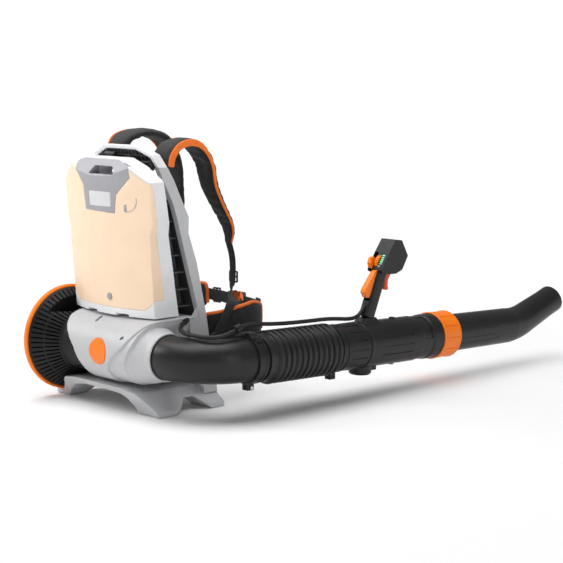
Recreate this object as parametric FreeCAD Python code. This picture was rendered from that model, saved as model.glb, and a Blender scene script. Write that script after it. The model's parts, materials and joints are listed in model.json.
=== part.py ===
import FreeCAD, Part
import math
import os

# Backpack leaf blower with a battery. Millimetres, +Z up, +Y forward (the way the nozzle points).
# The machine is laid out round its air duct, which runs along X; each shape is moved by
# ORIGIN_SHIFT when it is written, so that the origin is the middle of the footprint, on the floor.
ORIGIN_SHIFT = FreeCAD.Vector(-79.24, -510.32, 0.0)

# Air duct inside the machine
DUCT_Z = 125.0              # height of the duct's axis above the floor
DUCT_RADIUS = 62.0          # inside of the fan duct
HOUSING_RADIUS = 70.0
HOUSING_WALL = 3.0
HOUSING_FRONT = 100.0
HOUSING_SPLIT = 20.0        # the plane where the two housing shells meet
FUNNEL_START = 104.0
BADGE_X = 34.0              # middle of the round badge on the back panel
OUTLET_X = 181.0            # face of the outlet spigot
OUTLET_RADIUS = 50.0

# Intake
RIM_RADIUS = 115.0
RIM_BACK = -172.0
RIM_FRONT = -160.0
GRILLE_END = -103.0
BAND_RADIUS = 62.0
BAND_END = -44.0
GRILLE_SLOTS = 60

# Outlet hose and blower tube. They are drawn level and turned down about the duct's axis.
DROOP = 1.8                 # degrees
TUBE_X = 290.0
BEND_RADIUS = TUBE_X - 182.0
ELBOW_RADIUS = 45.5
TUBE_WALL = 3.0
FIT_GAP = 0.5
CLAMP_START = 108.0         # rear clamp, round the elbow's straight end
CLAMP_WIDTH = 24.0
BELLOWS_START = 140.0
BELLOWS_END = 346.0
BELLOWS_PIVOT = 251.0
RING_HALF = 2.2
RIDGE_RADIUS = 55.5
VALLEY_RADIUS = 49.5
RIDGE_FIRST = 167.0
RIDGE_PITCH = 15.3
RIDGES_PER_HALF = 6
SLEEVE_START = 432.0
SLEEVE_END = 600.0
SLEEVE_RADIUS = 50.3
NECK_END = 668.0
NUT_END = 725.0
NUT_RADIUS = 53.5
NUT_FACETS = 12
NOZZLE_START = 632.0
NOZZLE_RADIUS = 43.0
NOZZLE_BEND_START = 945.0
NOZZLE_BEND_RADIUS = 41.5
NOZZLE_BEND = 20.0          # degrees upward
NOZZLE_BEND_SIZE = 205.0    # centre-line radius of that bend
NOZZLE_AFTER_BEND = 36.0
TIP_LENGTH = 34.0
TIP_OUTER = 33.4
TIP_BORE = 31.0
TIP_REACH = 116.0           # from the end of the bend to the mouth

# Frame and battery
FRAME_SLOT = 14.0           # thickness of the side panels
BATTERY_LEAN = 8.8          # degrees that the battery's slide leans back from upright
BATTERY_BOTTOM = 198.0
BATTERY_TOP = 524.0

CABLE_DIAMETER = 8.5
CABLE_TO_CLIP = [(151, 66, 188), (160, 47, 181), (183, 29, 177), (212, 17, 177), (240, 9.5, 178.5), (267, 16, 176.5),
                 (287, 35.5, 176.5), (295.5, 62, 182.5), (290, 88, 190)]
CABLE_TO_RING = [(290, 88, 190), (286, 107.5, 195.6), (287.5, 150, 195), (290.7, 202, 191), (290, 251, 190.2)]
CABLE_TO_GRIP = [(290, 251, 190.2), (289.3, 290.2, 189.6), (291, 334, 190.5), (290, 376, 187.5), (290, 408, 184),
                 (290, 432, 186), (290, 448, 198), (290, 462, 215)]


def vec(x, y, z):
    return FreeCAD.Vector(x, y, z)


AXIS_X = vec(1, 0, 0)
AXIS_Y = vec(0, 1, 0)
AXIS_Z = vec(0, 0, 1)
DUCT_POINT = vec(0, 0, DUCT_Z)
HOSE_POINT = vec(TUBE_X, 0, DUCT_Z)


def block(x0, x1, y0, y1, z0, z1):
    return Part.makeBox(x1 - x0, y1 - y0, z1 - z0, vec(x0, y0, z0))


def rod(radius, start, end):
    return Part.makeCylinder(radius, (end - start).Length, start, end - start)


def extrude(points, along):
    wire = Part.makePolygon(points + points[:1])
    return Part.Face(wire).extrude(along)


def from_side(outline, x0, x1):
    """A prism whose outline is drawn in (y, z)."""
    return extrude([vec(x0, y, z) for y, z in outline], vec(x1 - x0, 0, 0))


def from_front(outline, y0, y1):
    """A prism whose outline is drawn in (x, z)."""
    return extrude([vec(x, y0, z) for x, z in outline], vec(0, y1 - y0, 0))


def from_top(outline, z0, z1):
    """A prism whose outline is drawn in (x, y)."""
    return extrude([vec(x, y, z0) for x, y in outline], vec(0, 0, z1 - z0))


def turned_x(profile):
    """A solid turned about the duct's axis, from its (x, radius) profile."""
    face = Part.Face(Part.makePolygon([vec(x, 0, DUCT_Z + r) for x, r in profile + profile[:1]]))
    return face.revolve(DUCT_POINT, AXIS_X, 360)


def turned_y(profile):
    """A solid turned about the level hose's axis, from its (y, radius) profile."""
    face = Part.Face(Part.makePolygon([vec(TUBE_X, y, DUCT_Z + r) for y, r in profile + profile[:1]]))
    return face.revolve(HOSE_POINT, AXIS_Y, 360)


def band(points, half):
    """The outline of a strip of even thickness along a line of (u, v) points."""
    sides = ([], [])
    for i, (u, v) in enumerate(points):
        before = points[max(i - 1, 0)]
        after = points[min(i + 1, len(points) - 1)]
        du = after[0] - before[0]
        dv = after[1] - before[1]
        size = math.hypot(du, dv)
        sides[0].append((u - dv / size * half, v + du / size * half))
        sides[1].append((u + dv / size * half, v - du / size * half))
    return sides[0] + sides[1][::-1]


def round_edges(shape, radius, along):
    """Rounds the straight edges of a prism that run along one direction."""
    edges = [e for e in shape.Edges
             if len(e.Vertexes) == 2 and e.tangentAt(e.FirstParameter).cross(along).Length < 1e-6]
    return shape.makeFillet(radius, edges)


def around_x(shape, count):
    """Copies of a shape, evenly spaced round the duct's axis."""
    return [shape.rotated(DUCT_POINT, AXIS_X, 360.0 * i / count) for i in range(count)]


def around_y(shape, count):
    """Copies of a shape, evenly spaced round the level hose's axis."""
    return [shape.rotated(HOSE_POINT, AXIS_Y, 360.0 * i / count) for i in range(count)]


def largest(shape):
    """The main solid of a cut that leaves loose crumbs."""
    return max(shape.Solids, key=lambda s: s.Volume)


def mirrored(shape):
    return shape.mirror(vec(0, 0, 0), AXIS_X)


def drooped(shape):
    return shape.rotated(DUCT_POINT, AXIS_X, -DROOP)


def leaned(shape):
    """Turns a shape drawn upright at the battery's foot so that it lies along the battery's slide."""
    return shape.rotated(vec(0, 0, BATTERY_BOTTOM), AXIS_X, BATTERY_LEAN)


def cord_path(points):
    """Straight runs joined by tangent arcs, as large as the runs allow, and the arcs' radii."""
    corners = [vec(*p) for p in points]
    edges = []
    radii = []
    last = corners[0]
    for before, corner, after in zip(corners, corners[1:], corners[2:]):
        run_in = corner - before
        run_out = after - corner
        reach = 0.45 * min(run_in.Length, run_out.Length)
        half_turn = run_in.getAngle(run_out) / 2
        radius = reach / math.tan(half_turn)
        way_in = run_in.normalize()
        way_out = run_out.normalize()
        start = corner - way_in * reach
        end = corner + way_out * reach
        inward = (way_out - way_in).normalize()
        middle = corner + inward * (radius / math.cos(half_turn) - radius)
        edges.append(Part.LineSegment(last, start).toShape())
        edges.append(Part.Arc(start, middle, end).toShape())
        radii.append(radius)
        last = end
    edges.append(Part.LineSegment(last, corners[-1]).toShape())
    return Part.Wire(edges), radii


def cord_solid(points, diameter):
    path, _ = cord_path(points)
    way = (vec(*points[1]) - vec(*points[0])).normalize()
    section = Part.Wire([Part.makeCircle(diameter / 2, vec(*points[0]), way)])
    return path.makePipeShell([section], True, False)


def trimmed_cord(points, diameter, gap=0.3):
    """A cord that stops a hair short at both ends, so that it is clear of the cords that it meets there."""
    whole = cord_solid(points, diameter)
    for end, inner in ((points[0], points[1]), (points[-1], points[-2])):
        way = (vec(*inner) - vec(*end)).normalize()
        whole = whole.cut(rod(diameter, vec(*end) - way, vec(*end) + way * gap))
    return whole


def print_cord(name, points, diameter):
    path, radii = cord_path(points)
    section = math.pi * diameter ** 2 / 4
    print(name, "length", round(path.Length, 1), "arc radii", [round(r, 1) for r in radii],
          "volume over section x length", round(cord_solid(points, diameter).Volume / section / path.Length, 4))


# ---------------------------------------------------------------- machine housing and base

INTAKE_CLEARANCE = turned_x([(RIM_BACK - 3, 0), (RIM_BACK - 3, RIM_RADIUS + 2.5),
                             (RIM_FRONT + 3, RIM_RADIUS + 2.5), (GRILLE_END + 3, BAND_RADIUS + 3), (BAND_END, 0)])


def base_frame():
    front_view = [(-187, 0), (-187, 7), (-116, 50), (-78, 54), (84, 54), (128, 47), (172, 11), (171, 0),
                  (99, 0), (96, 16), (88, 30), (72, 39), (30, 42), (-50, 42), (-92, 35), (-122, 18), (-140, 0)]
    side_view = [(-18, 0), (26, 0), (64, 28), (88, 28), (124, 0), (158, 0), (152, 56), (-52, 56), (-34, 30)]
    frame = from_front(front_view, -60, 165).common(from_side(side_view, -190, 180))
    return frame.cut(INTAKE_CLEARANCE).cut(screw_holes())


def housing_section(radius, front, x0, x1):
    """Seen from the side, the housing is half round at the back and square at the front."""
    top = vec(x0, 0, DUCT_Z + radius)
    bottom = vec(x0, 0, DUCT_Z - radius)
    corners = [bottom, vec(x0, front, DUCT_Z - radius), vec(x0, front, DUCT_Z + radius), top]
    edges = [Part.Arc(top, vec(x0, -radius, DUCT_Z), bottom).toShape()]
    edges += [Part.LineSegment(a, b).toShape() for a, b in zip(corners, corners[1:])]
    return Part.Face(Part.Wire(edges)).extrude(vec(x1 - x0, 0, 0))


def housing():
    """The whole housing before it is split: a raised back panel, a lower flank and the outlet funnel."""
    panel_view = [(-112, 195), (-92, 166), (-52, 126), (-34, 84), (-29, 55), (54, 55), (59, 92), (76, 116),
                  (116, 148), (150, 195)]
    flank_view = [(-92, 190), (-32, 120), (-28, 58), (112, 58), (118, 110), (140, 160), (148, 192)]
    panel = housing_section(HOUSING_RADIUS, HOUSING_FRONT, -125, 155).common(from_front(panel_view, -80, 110))
    flank = housing_section(HOUSING_RADIUS - 4, HOUSING_FRONT - 1, -125, 155).common(
        from_front(flank_view, -80, 110))
    funnel = turned_x([(60, 0), (60, 66), (FUNNEL_START + 4, 66), (150, 57), (166, OUTLET_RADIUS + 1.5),
                       (OUTLET_X, OUTLET_RADIUS), (OUTLET_X, 0)])
    cavity_view = [(-100, 191), (-31, 120), (-27, 62), (104, 62), (110, 110), (132, 160), (140, 188)]
    cavity = housing_section(HOUSING_RADIUS - 4 - HOUSING_WALL, HOUSING_FRONT - 4, -125, 155).common(
        from_front(cavity_view, -80, 110))
    flow = turned_x([(60, 0), (60, 63), (FUNNEL_START + 4, 63), (149, 54), (163.5, 48.5), (168, 48.5),
                     (168, ELBOW_RADIUS + FIT_GAP), (OUTLET_X + 1, ELBOW_RADIUS + FIT_GAP), (OUTLET_X + 1, 0)])
    intake_hole = rod(BAND_RADIUS + 0.6, vec(-130, 0, DUCT_Z), vec(-10, 0, DUCT_Z))
    back_slot = block(-14, -7, -40, -10, 176, 190)
    vent = from_front([(84, 150), (104, 166), (108, 163), (89, 147)], -60, -20)
    body = panel.fuse(flank).fuse(funnel).removeSplitter()
    return body.cut(cavity).cut(flow).cut(intake_hole).cut(back_slot).cut(vent).cut(INTAKE_CLEARANCE)


WHOLE_HOUSING = housing()
GLAND_POINT = drooped(Part.Vertex(vec(*CABLE_TO_CLIP[0]))).Point


def badge_disc(radius, depth_in, depth_out):
    """A round disc on the back panel, bent to the housing's curve."""
    centre = vec(BADGE_X, 0, DUCT_Z + 2)
    core = rod(radius, centre, centre + vec(0, -90, 0))
    outer = rod(HOUSING_RADIUS + depth_out, vec(BADGE_X - 48, 0, DUCT_Z), vec(BADGE_X + 52, 0, DUCT_Z))
    inner = rod(HOUSING_RADIUS - depth_in, vec(BADGE_X - 53, 0, DUCT_Z), vec(BADGE_X + 57, 0, DUCT_Z))
    return core.common(outer).cut(inner)


def housing_rear():
    half = WHOLE_HOUSING.common(block(-200, 200, -90, HOUSING_SPLIT, 0, 260))
    return largest(half.cut(badge_disc(28, 1.2, 3)))


def housing_front():
    half = WHOLE_HOUSING.common(block(-200, 200, HOUSING_SPLIT, 120, 0, 260))
    return largest(half.cut(cable_gland()).cut(plug_shape(0.6)))


def cable_gland():
    """A collar in the housing's flank that the cable comes out of."""
    way = (vec(*CABLE_TO_CLIP[1]) - vec(*CABLE_TO_CLIP[0])).normalize()
    way = drooped(Part.makeLine(vec(0, 0, DUCT_Z), DUCT_POINT + way)).Vertexes[1].Point - DUCT_POINT
    collar = rod(7.6, GLAND_POINT + vec(-22, 0, 0), GLAND_POINT + vec(-5, 0, 0))
    nose = rod(6.0, GLAND_POINT - way * 12, GLAND_POINT)
    return collar.fuse(nose).removeSplitter()


def rear_badge():
    return badge_disc(27.6, 1.2, 1.4)


SCREW_PLACES = [(x, y) for x in (-30, 60, 96) for y in (-22, 72)]


def housing_screws():
    """Six screws hold the housing to the base, from below."""
    heads = [rod(4.5, vec(x, y, 36), vec(x, y, 39)) for x, y in SCREW_PLACES]
    shanks = [rod(2.0, vec(x, y, 39), vec(x, y, 54)) for x, y in SCREW_PLACES]
    return Part.makeCompound([head.fuse(shank) for head, shank in zip(heads, shanks)])


def screw_holes():
    wells = [rod(4.8, vec(x, y, 0), vec(x, y, 39)) for x, y in SCREW_PLACES]
    shanks = [rod(2.05, vec(x, y, 38), vec(x, y, 60)) for x, y in SCREW_PLACES]
    return wells[0].multiFuse(wells[1:] + shanks)


# ---------------------------------------------------------------- intake, fan and motor

def intake_rim():
    return turned_x([(RIM_BACK, RIM_RADIUS - 8), (RIM_BACK, RIM_RADIUS - 2), (RIM_BACK + 3, RIM_RADIUS),
                     (RIM_FRONT - 2, RIM_RADIUS), (RIM_FRONT, RIM_RADIUS - 2), (RIM_FRONT, RIM_RADIUS - 5),
                     (RIM_FRONT - 3, RIM_RADIUS - 8)])


def intake_cap():
    """The closed left face of the intake, dished, with a domed boss in the middle."""
    radius = RIM_RADIUS - 8.4
    return turned_x([(RIM_BACK + 2, 0), (RIM_BACK + 2, 24), (RIM_BACK + 7, 30), (RIM_BACK + 7, radius - 14),
                     (RIM_BACK + 1, radius - 6), (RIM_BACK + 1, radius), (RIM_BACK + 4, radius),
                     (RIM_BACK + 10, radius - 16), (RIM_BACK + 10, 32), (RIM_BACK + 5, 26), (RIM_BACK + 5, 0)])


def intake_trim():
    """The room that the deck and the battery's corner take from the grille."""
    return block(-142, 0, -76, 130, 189, 260)


def intake_grille():
    """A cone of fine slots between the rim and the band, with one rib round its middle."""
    wide = RIM_RADIUS - 5.4
    shell = turned_x([(RIM_FRONT + 0.3, wide), (GRILLE_END, BAND_RADIUS + 0.4), (GRILLE_END, BAND_RADIUS - 2.6),
                      (RIM_FRONT + 0.3, wide - 3.4)])
    slot_view = [(RIM_FRONT + 4, 50), (GRILLE_END - 5, 50), (GRILLE_END - 5, 130), (RIM_FRONT + 4, 130)]
    slot = extrude([vec(x, -1.6, DUCT_Z + z) for x, z in slot_view], vec(0, 3.2, 0))
    slots = slot.multiFuse(around_x(slot, GRILLE_SLOTS)[1:])
    middle = turned_x([(-135, 50), (-132.5, 50), (-132.5, 130), (-135, 130)])
    return shell.cut(slots.cut(middle)).cut(intake_trim())


def intake_band():
    """The plain ring between the grille's cone and the fan's duct."""
    return turned_x([(GRILLE_END, BAND_RADIUS + 0.4), (-98, BAND_RADIUS), (BAND_END, BAND_RADIUS - 1),
                     (BAND_END, BAND_RADIUS - 3.5), (-98, BAND_RADIUS - 2.6), (GRILLE_END, BAND_RADIUS - 2.6)])


def duct_liner():
    """The tube that the fan turns in, from the band to the funnel."""
    return turned_x([(BAND_END + 0.5, DUCT_RADIUS), (BAND_END + 0.5, DUCT_RADIUS - 2), (96, DUCT_RADIUS - 2),
                     (96, DUCT_RADIUS)])


def stator_vanes():
    """Fixed vanes behind the fan hold the motor's pod in the middle of the duct."""
    pod = turned_x([(16, 0), (16, 27), (18, 29), (74, 29), (100, 12), (101, 0)])
    bore = rod(26, vec(10, 0, DUCT_Z), vec(66, 0, DUCT_Z))
    vane = extrude([vec(26, -1.2, DUCT_Z + 27), vec(66, -1.2, DUCT_Z + 27), vec(66, -1.2, DUCT_Z + 59.8),
                    vec(26, -1.2, DUCT_Z + 59.8)], vec(0, 2.4, 0))
    return pod.cut(bore).multiFuse(around_x(vane, 7)).removeSplitter()


def motor_stator():
    """Laminations and windings round the rotor: twelve poles in a ring."""
    ring = turned_x([(24, 14.5), (24, 25.5), (60, 25.5), (60, 14.5)])
    gap = rod(1.8, vec(20, 0, DUCT_Z + 17), vec(64, 0, DUCT_Z + 17))
    return ring.cut(gap.multiFuse(around_x(gap, 12)[1:]))


def shaft_bearings():
    ring = turned_x([(0, 4.03), (0, 11), (7, 11), (7, 4.03)])
    front = ring.translated(vec(17.5, 0, 0))
    rear = ring.translated(vec(58.6, 0, 0)).common(rod(11, vec(0, 0, DUCT_Z), vec(65.6, 0, DUCT_Z)))
    return Part.makeCompound([front, rear])


def motor_shaft():
    shaft = rod(4, vec(-26, 0, DUCT_Z), vec(65, 0, DUCT_Z))
    rotor = rod(13.6, vec(27, 0, DUCT_Z), vec(56, 0, DUCT_Z))
    return shaft.fuse(rotor)


def impeller():
    """An axial fan: a hub with a round nose, and nine pitched blades."""
    hub = turned_x([(-34, 0), (-33, 8), (-28, 17), (-18, 25), (-6, 28), (14, 28), (14, 25), (10, 24), (-10, 24),
                    (-10, 8), (13, 8), (13, 4), (-26, 4), (-26, 0)])
    root = Part.makePolygon([vec(-12, -8, DUCT_Z + 26), vec(10, 7, DUCT_Z + 26), vec(11, 5, DUCT_Z + 26),
                             vec(-11, -10.5, DUCT_Z + 26), vec(-12, -8, DUCT_Z + 26)])
    tip = Part.makePolygon([vec(-8, -17, DUCT_Z + 57), vec(7, 16, DUCT_Z + 57), vec(9, 15, DUCT_Z + 57),
                            vec(-6, -18.4, DUCT_Z + 57), vec(-8, -17, DUCT_Z + 57)])
    blade = Part.makeLoft([root, tip], True, True)
    return hub.multiFuse(around_x(blade, 9)).removeSplitter()


def controller_box():
    """The motor's electronics stand in front of the duct, with cooling fins on the case."""
    case = block(-20, 80, 70, 94, 84, 168)
    fins = [block(-14 + 12 * i, -11 + 12 * i, 66, 70, 90, 162) for i in range(8)]
    return case.multiFuse(fins).removeSplitter()


# ---------------------------------------------------------------- back frame and harness

def side_panel(base):
    """One upright of the back frame: a flat rail that leans back, drawn from the side and the front."""
    side_view = [(154, 30), (137, 140), (115, 305), (99, 368), (103, 400), (88, 440), (76, 475), (63, 503),
                 (39, 503), (66, 428), (109, 205), (118, 30)]
    outer = [(153, 30), (150, 100), (147, 196), (128, 368), (125, 400), (112, 475), (107, 503)]
    inner = [(x - FRAME_SLOT, z) for x, z in reversed(outer)]
    panel = from_side(side_view, 80, 170).common(from_front(outer + inner, 20, 170))
    return largest(panel.cut(base))


def side_panel_right():
    """The right upright, with a thin wing that closes the gap to the housing."""
    wing_view = [(154, 30), (150.3, 100), (147.3, 196), (146.3, 214), (143.3, 214), (144.3, 196), (147.3, 100),
                 (151, 30)]
    wing = from_side([(126, 40), (92, 60), (86, 120), (84, 188), (106, 214)], 130, 160).common(
        from_front(wing_view, 60, 140))
    rail = side_panel(base_frame())
    return largest(rail.fuse(wing.cut(WHOLE_HOUSING).cut(base_frame())).removeSplitter())


def side_panel_left():
    return largest(mirrored(side_panel(base_frame())).cut(base_frame()))


def top_rim():
    """The white hoop over the frame's top, with the corners cut off."""
    front_view = [(-107, 503.2), (-98, 530), (-53, 548), (53, 548), (98, 530), (107, 503.2),
                  (97, 503.2), (90, 524), (50, 540), (-50, 540), (-90, 524), (-97, 503.2)]
    side_view = [(63, 503), (41, 549), (19, 549), (39, 503)]
    return from_front(front_view, 10, 70).common(from_side(side_view, -120, 120))


def back_plate():
    """The plate between the uprights. Its back is ribbed in squares and it has four strap slots."""
    face_line = [(134, 110), (131, 140), (109, 305), (92, 371), (82, 440), (58, 500), (35, 539)]
    side_view = face_line + [(y - 7, z) for y, z in reversed(face_line)]
    half_view = [(135.3, 110), (132.6, 196), (113.6, 368), (110.6, 400), (97.6, 475), (92.6, 503), (89, 523.6),
                 (49, 539)]
    front_view = half_view + [(-x, z) for x, z in reversed(half_view)]
    plate = from_side(side_view, -150, 150).common(from_front(front_view, 10, 170))
    ribs = []
    for i in range(15):
        x = -84 + 12 * i
        ribs.append(block(x - 0.9, x + 0.9, 10, 80, 452, 538))
    for i in range(7):
        z = 456 + 12 * i
        ribs.append(block(-95, 95, 10, 80, z - 0.9, z + 0.9))
    rib_room = from_side([(81.5, 440), (57, 500), (34, 539), (22, 539), (43, 500), (68, 440)], -150, 150)
    grid = ribs[0].multiFuse(ribs[1:]).common(rib_room).common(from_front(front_view, 10, 170))
    plate = plate.fuse(grid).removeSplitter()
    for x in (-76, 76):
        plate = plate.cut(block(x - 30, x + 30, 0, 130, 484, 500))
    for x in (-98, 98):
        plate = plate.cut(block(x - 14, x + 14, 60, 150, 128, 182))
    return largest(plate)


def rib_rails():
    """Ribbed edges behind the plate, beside the battery."""
    line = [(105, 212), (62, 432)]
    side_view = [(66, 212), (line[0][0], 212), (line[1][0], 432), (31, 432)]
    wall = from_side(side_view, 96, 99)
    shelves = [block(99, 125, 20, 112, 214 + 35.5 * i, 216.4 + 35.5 * i) for i in range(7)]
    shelves.append(block(99, 114, 20, 112, 429, 432))
    room = from_side(side_view, 90, 126).common(
        from_front([(90, 205), (130, 205), (111.5, 368), (108, 432), (90, 432)], 0, 120))
    rail = wall.multiFuse(shelves).common(room).removeSplitter()
    return Part.makeCompound([largest(rail), largest(mirrored(rail))])


LATCH_PIN = (108.0, 32.0, 446.0)


def latch_bracket():
    """A bracket inside the right upright that carries the battery's lock, with two pegs and two screws."""
    x, y, z = LATCH_PIN
    plate = from_side([(32, 438), (66, 438), (46, 488), (32, 488)], 99, 103)
    ear = block(103, x + 5, 45, 48, z - 5, z + 5)
    pin = rod(2.2, vec(x, 32, z), vec(x, 46, z))
    pegs = [rod(2.2, vec(103, 38, peg_z), vec(124, 38, peg_z)) for peg_z in (469, 480)]
    screws = [rod(3.0, vec(102, 44, screw_z), vec(105, 44, screw_z)) for screw_z in (458, 484)]
    whole = plate.multiFuse([ear, pin] + pegs + screws).removeSplitter()
    return largest(whole.cut(side_panel(base_frame())))


def battery_latch():
    """The lock lever: a hub on the bracket's pin and an arm with a bent tip."""
    x, y, z = LATCH_PIN
    hub = rod(4.4, vec(x, 33, z), vec(x, 44, z))
    arm = from_front([(x - 3, z), (x - 3, z + 13), (x + 2, z + 18), (x + 7, z + 17), (x + 3.4, z + 11),
                      (x + 3.4, z)], 33, 44)
    return hub.fuse(arm).removeSplitter().cut(rod(2.27, vec(x, 30, z), vec(x, 50, z)))


def strap(points, x0, x1, thickness):
    return from_side(band(points, thickness / 2), x0, x1)


def shoulder_strap_right():
    return strap([(71, 504), (76, 524), (94, 545), (124, 553), (152, 547), (172, 530), (190, 501), (200, 461),
                  (223, 418), (246, 381), (256, 354), (254, 330)], 44, 108, 12)


def shoulder_strap_left():
    return strap([(70, 502), (74, 530), (86, 556), (118, 567), (152, 567), (184, 558), (208, 536), (226, 500),
                  (232, 460), (236, 415), (240, 370), (243, 330)], -108, -44, 12)


# Each lower strap: its points, and the way that its face looks on the run that starts there.
WEBBING_RIGHT = [((76, 254, 328), (0, 1, 0)), ((76, 264, 300), (0, 1, 0)), ((76, 266, 262), (0, 1, 0.3)),
                 ((82, 258, 230), (0.3, 0.7, 0.7)), ((112, 234, 219), (0.2, 0.2, 1)), ((141, 204, 213), (0.8, 0, 0.6)),
                 ((150, 182, 188), (1, 0, 0)), ((150, 152, 142), (1, 0, 0))]
WEBBING_LEFT = [((-76, 243, 328), (0, 1, 0)), ((-76, 247, 290), (0, 1, 0)), ((-78, 246, 252), (0, 1, 0.3)),
                ((-86, 238, 227), (-0.3, 0.7, 0.7)), ((-112, 222, 220), (-0.2, 0.2, 1)),
                ((-142, 204, 214), (-0.8, 0, 0.6)), ((-151, 182, 190), (-1, 0, 0)), ((-151, 152, 142), (-1, 0, 0))]


def flat_run(start, end, facing):
    """One straight run of webbing."""
    width = 21.0
    thickness = 2.6
    overlap = 1.5
    along = (vec(*end) - vec(*start)).normalize()
    across = along.cross(vec(*facing)).normalize()
    out = across.cross(along)
    first = vec(*start) - along * overlap - across * width / 2 - out * thickness / 2
    corners = [first, first + across * width, first + across * width + out * thickness, first + out * thickness]
    return extrude(corners, vec(*end) - vec(*start) + along * 2 * overlap)


def strap_webbing():
    """The lower straps, from the padded ones over the hip pads to the frame's foot."""
    sides = []
    for line in (WEBBING_RIGHT, WEBBING_LEFT):
        runs = [flat_run(start, end, facing) for (start, facing), (end, _) in zip(line, line[1:])]
        sides.append(runs[0].multiFuse(runs[1:]).removeSplitter())
    return Part.makeCompound(sides)


def back_pads():
    """A tall pad for the back and a wide one for the loins, on the plate's face."""
    back = from_side(band([(102, 402), (112, 340), (122, 290), (133, 232)], 7), -78, 78)
    loins = from_side([(143, 116), (157, 120), (154, 206), (134, 210)], -104, 104)
    return Part.makeCompound([back, loins])


def hip_pad(plan, outline):
    """A padded wing of the hip belt: bent in plan, with its outline drawn from the side."""
    return from_top(band(plan, 6), 100, 230).common(from_side(outline, -200, 200))


def hip_pad_right():
    return hip_pad([(113, 141), (132, 170), (142, 215), (143, 262), (128, 300)],
                   [(138, 190), (190, 197), (262, 209), (308, 188), (308, 140), (280, 122), (138, 116)])


def hip_pad_left():
    return hip_pad([(-113, 141), (-134, 170), (-144, 220), (-138, 270), (-112, 304), (-76, 322)],
                   [(138, 190), (190, 197), (262, 212), (300, 222), (330, 224), (330, 172), (300, 148), (262, 132),
                    (138, 116)])


def belt_webbing():
    """The belt's two straps, from the padded wings to the buckle."""
    left = from_top(band([(-71, 325), (-40, 330), (-8, 330)], 1.5), 180, 208)
    right = from_top(band([(40, 330), (84, 323), (121, 308)], 1.5), 174, 202)
    return Part.makeCompound([left, right])


def belt_buckle():
    body = block(-7.5, 39.5, 323, 337, 174, 210)
    return round_edges(body, 5, AXIS_Y)


# ---------------------------------------------------------------- battery

def battery_outline(inset, bottom):
    """The battery seen from behind: cut shoulders, and a step where it narrows to its foot."""
    right = [(136 - inset, bottom), (138 - inset, 370), (146 - inset, 394), (146 - inset, 478),
             (100 - inset / 2, 508), (56, BATTERY_TOP - inset)]
    return right + [(-x, z) for x, z in reversed(right)]


def battery_crown(depth):
    """A wide round column whose back is the battery's crowned face."""
    radius = 390.0
    foot = vec(0, radius - 15 + depth, 100)
    return rod(radius, foot, foot + vec(0, -math.tan(math.radians(4.2)), 1) * 460)


BATTERY_SIDE_FRONT = [(65, BATTERY_BOTTOM + 1.2), (65 - 0.1548 * 238, 449), (65 - 0.1548 * 313, BATTERY_TOP)]
HANDLE_GAP = [(-26, 490), (-14, 507), (44, 507), (56, 500), (56, 490)]


def battery_whole():
    body = from_front(battery_outline(0, BATTERY_BOTTOM), -80, 80).common(battery_crown(0))
    front_cut = from_side([(-90, 190), (66, 190), (65, BATTERY_BOTTOM), (14, BATTERY_TOP + 4), (-90, BATTERY_TOP + 4)],
                          -160, 160)
    top_slope = from_side([(-90, 190), (80, 190), (80, 540), (-14, 540), (-50, 478), (-90, 478)], -160, 160)
    return body.common(front_cut).common(top_slope)


WHOLE_BATTERY = battery_whole()
PANEL_VIEW = [(-78, 500), (-47, 466), (-43, 415), (54, 412), (61, 450), (100, 486), (94, 530), (-76, 530)]
COVER_VIEW = [(-138, 214), (-140, 370), (-148, 394), (-148, 472), (-98, 502), (-56, 514), (56, 514), (98, 502),
              (148, 472), (148, 394), (140, 370), (138, 214)]
COVER_SIDE = [(-90, 200), (33, 200), (-6, 462), (-28, 535), (-90, 535)]


def plug_shape(grow):
    """The power connector that stands on the deck and enters the battery's foot."""
    side = 26 + grow
    depth = 11 + grow
    upright = block(-side, side, 40 - depth, 40 + depth, BATTERY_BOTTOM - 24, BATTERY_BOTTOM + 22 + grow)
    return leaned(upright)


def contact_plug():
    """The connector and its flange under the deck."""
    flange = block(-38, 38, 26, 60, 184.5, 187.8)
    return plug_shape(0).cut(block(-60, 60, -40, 120, 150, 186)).fuse(flange).removeSplitter()


def handle_scoop():
    """The hollow under the battery's carrying handle, open to the back."""
    return extrude([vec(x, -90, z) for x, z in HANDLE_GAP], vec(0, 190, 0))


def cover_room():
    """Where the coloured cover lies: the back above the foot, with rounded lower corners."""
    room = from_front(COVER_VIEW, -90, 90)
    corners = [e for e in room.Edges if e.BoundBox.ZMax < COVER_VIEW[0][1] + 1 and e.BoundBox.YLength > 100]
    return room.makeFillet(34, corners).common(from_side(COVER_SIDE, -160, 160))


def panel_room():
    """Where the handle's panel lies, in the cover's upper middle."""
    view = from_front(PANEL_VIEW, -90, 90).common(from_front(battery_outline(2, BATTERY_BOTTOM), -90, 90))
    return view.common(from_side(COVER_SIDE, -160, 160))


def battery_rear_shell():
    """The coloured back cover of the battery."""
    back = WHOLE_BATTERY.common(cover_room())
    back = back.cut(panel_room()).cut(handle_scoop()).cut(button_ring(0.4))
    return largest(back.cut(plug_shape(1.2)))


def battery_handle_panel():
    """The grey panel with the carrying handle."""
    return largest(WHOLE_BATTERY.common(panel_room()).cut(handle_scoop()).cut(label_plate(0.6)))


def label_plate(grow):
    plate = block(-26 - grow, 45 + grow, -60, 20, 425 - grow, 455 + grow)
    skin = battery_crown(0).cut(battery_crown(1.2))
    return plate.common(skin).common(WHOLE_BATTERY)


def battery_label():
    return largest(label_plate(0))


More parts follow.
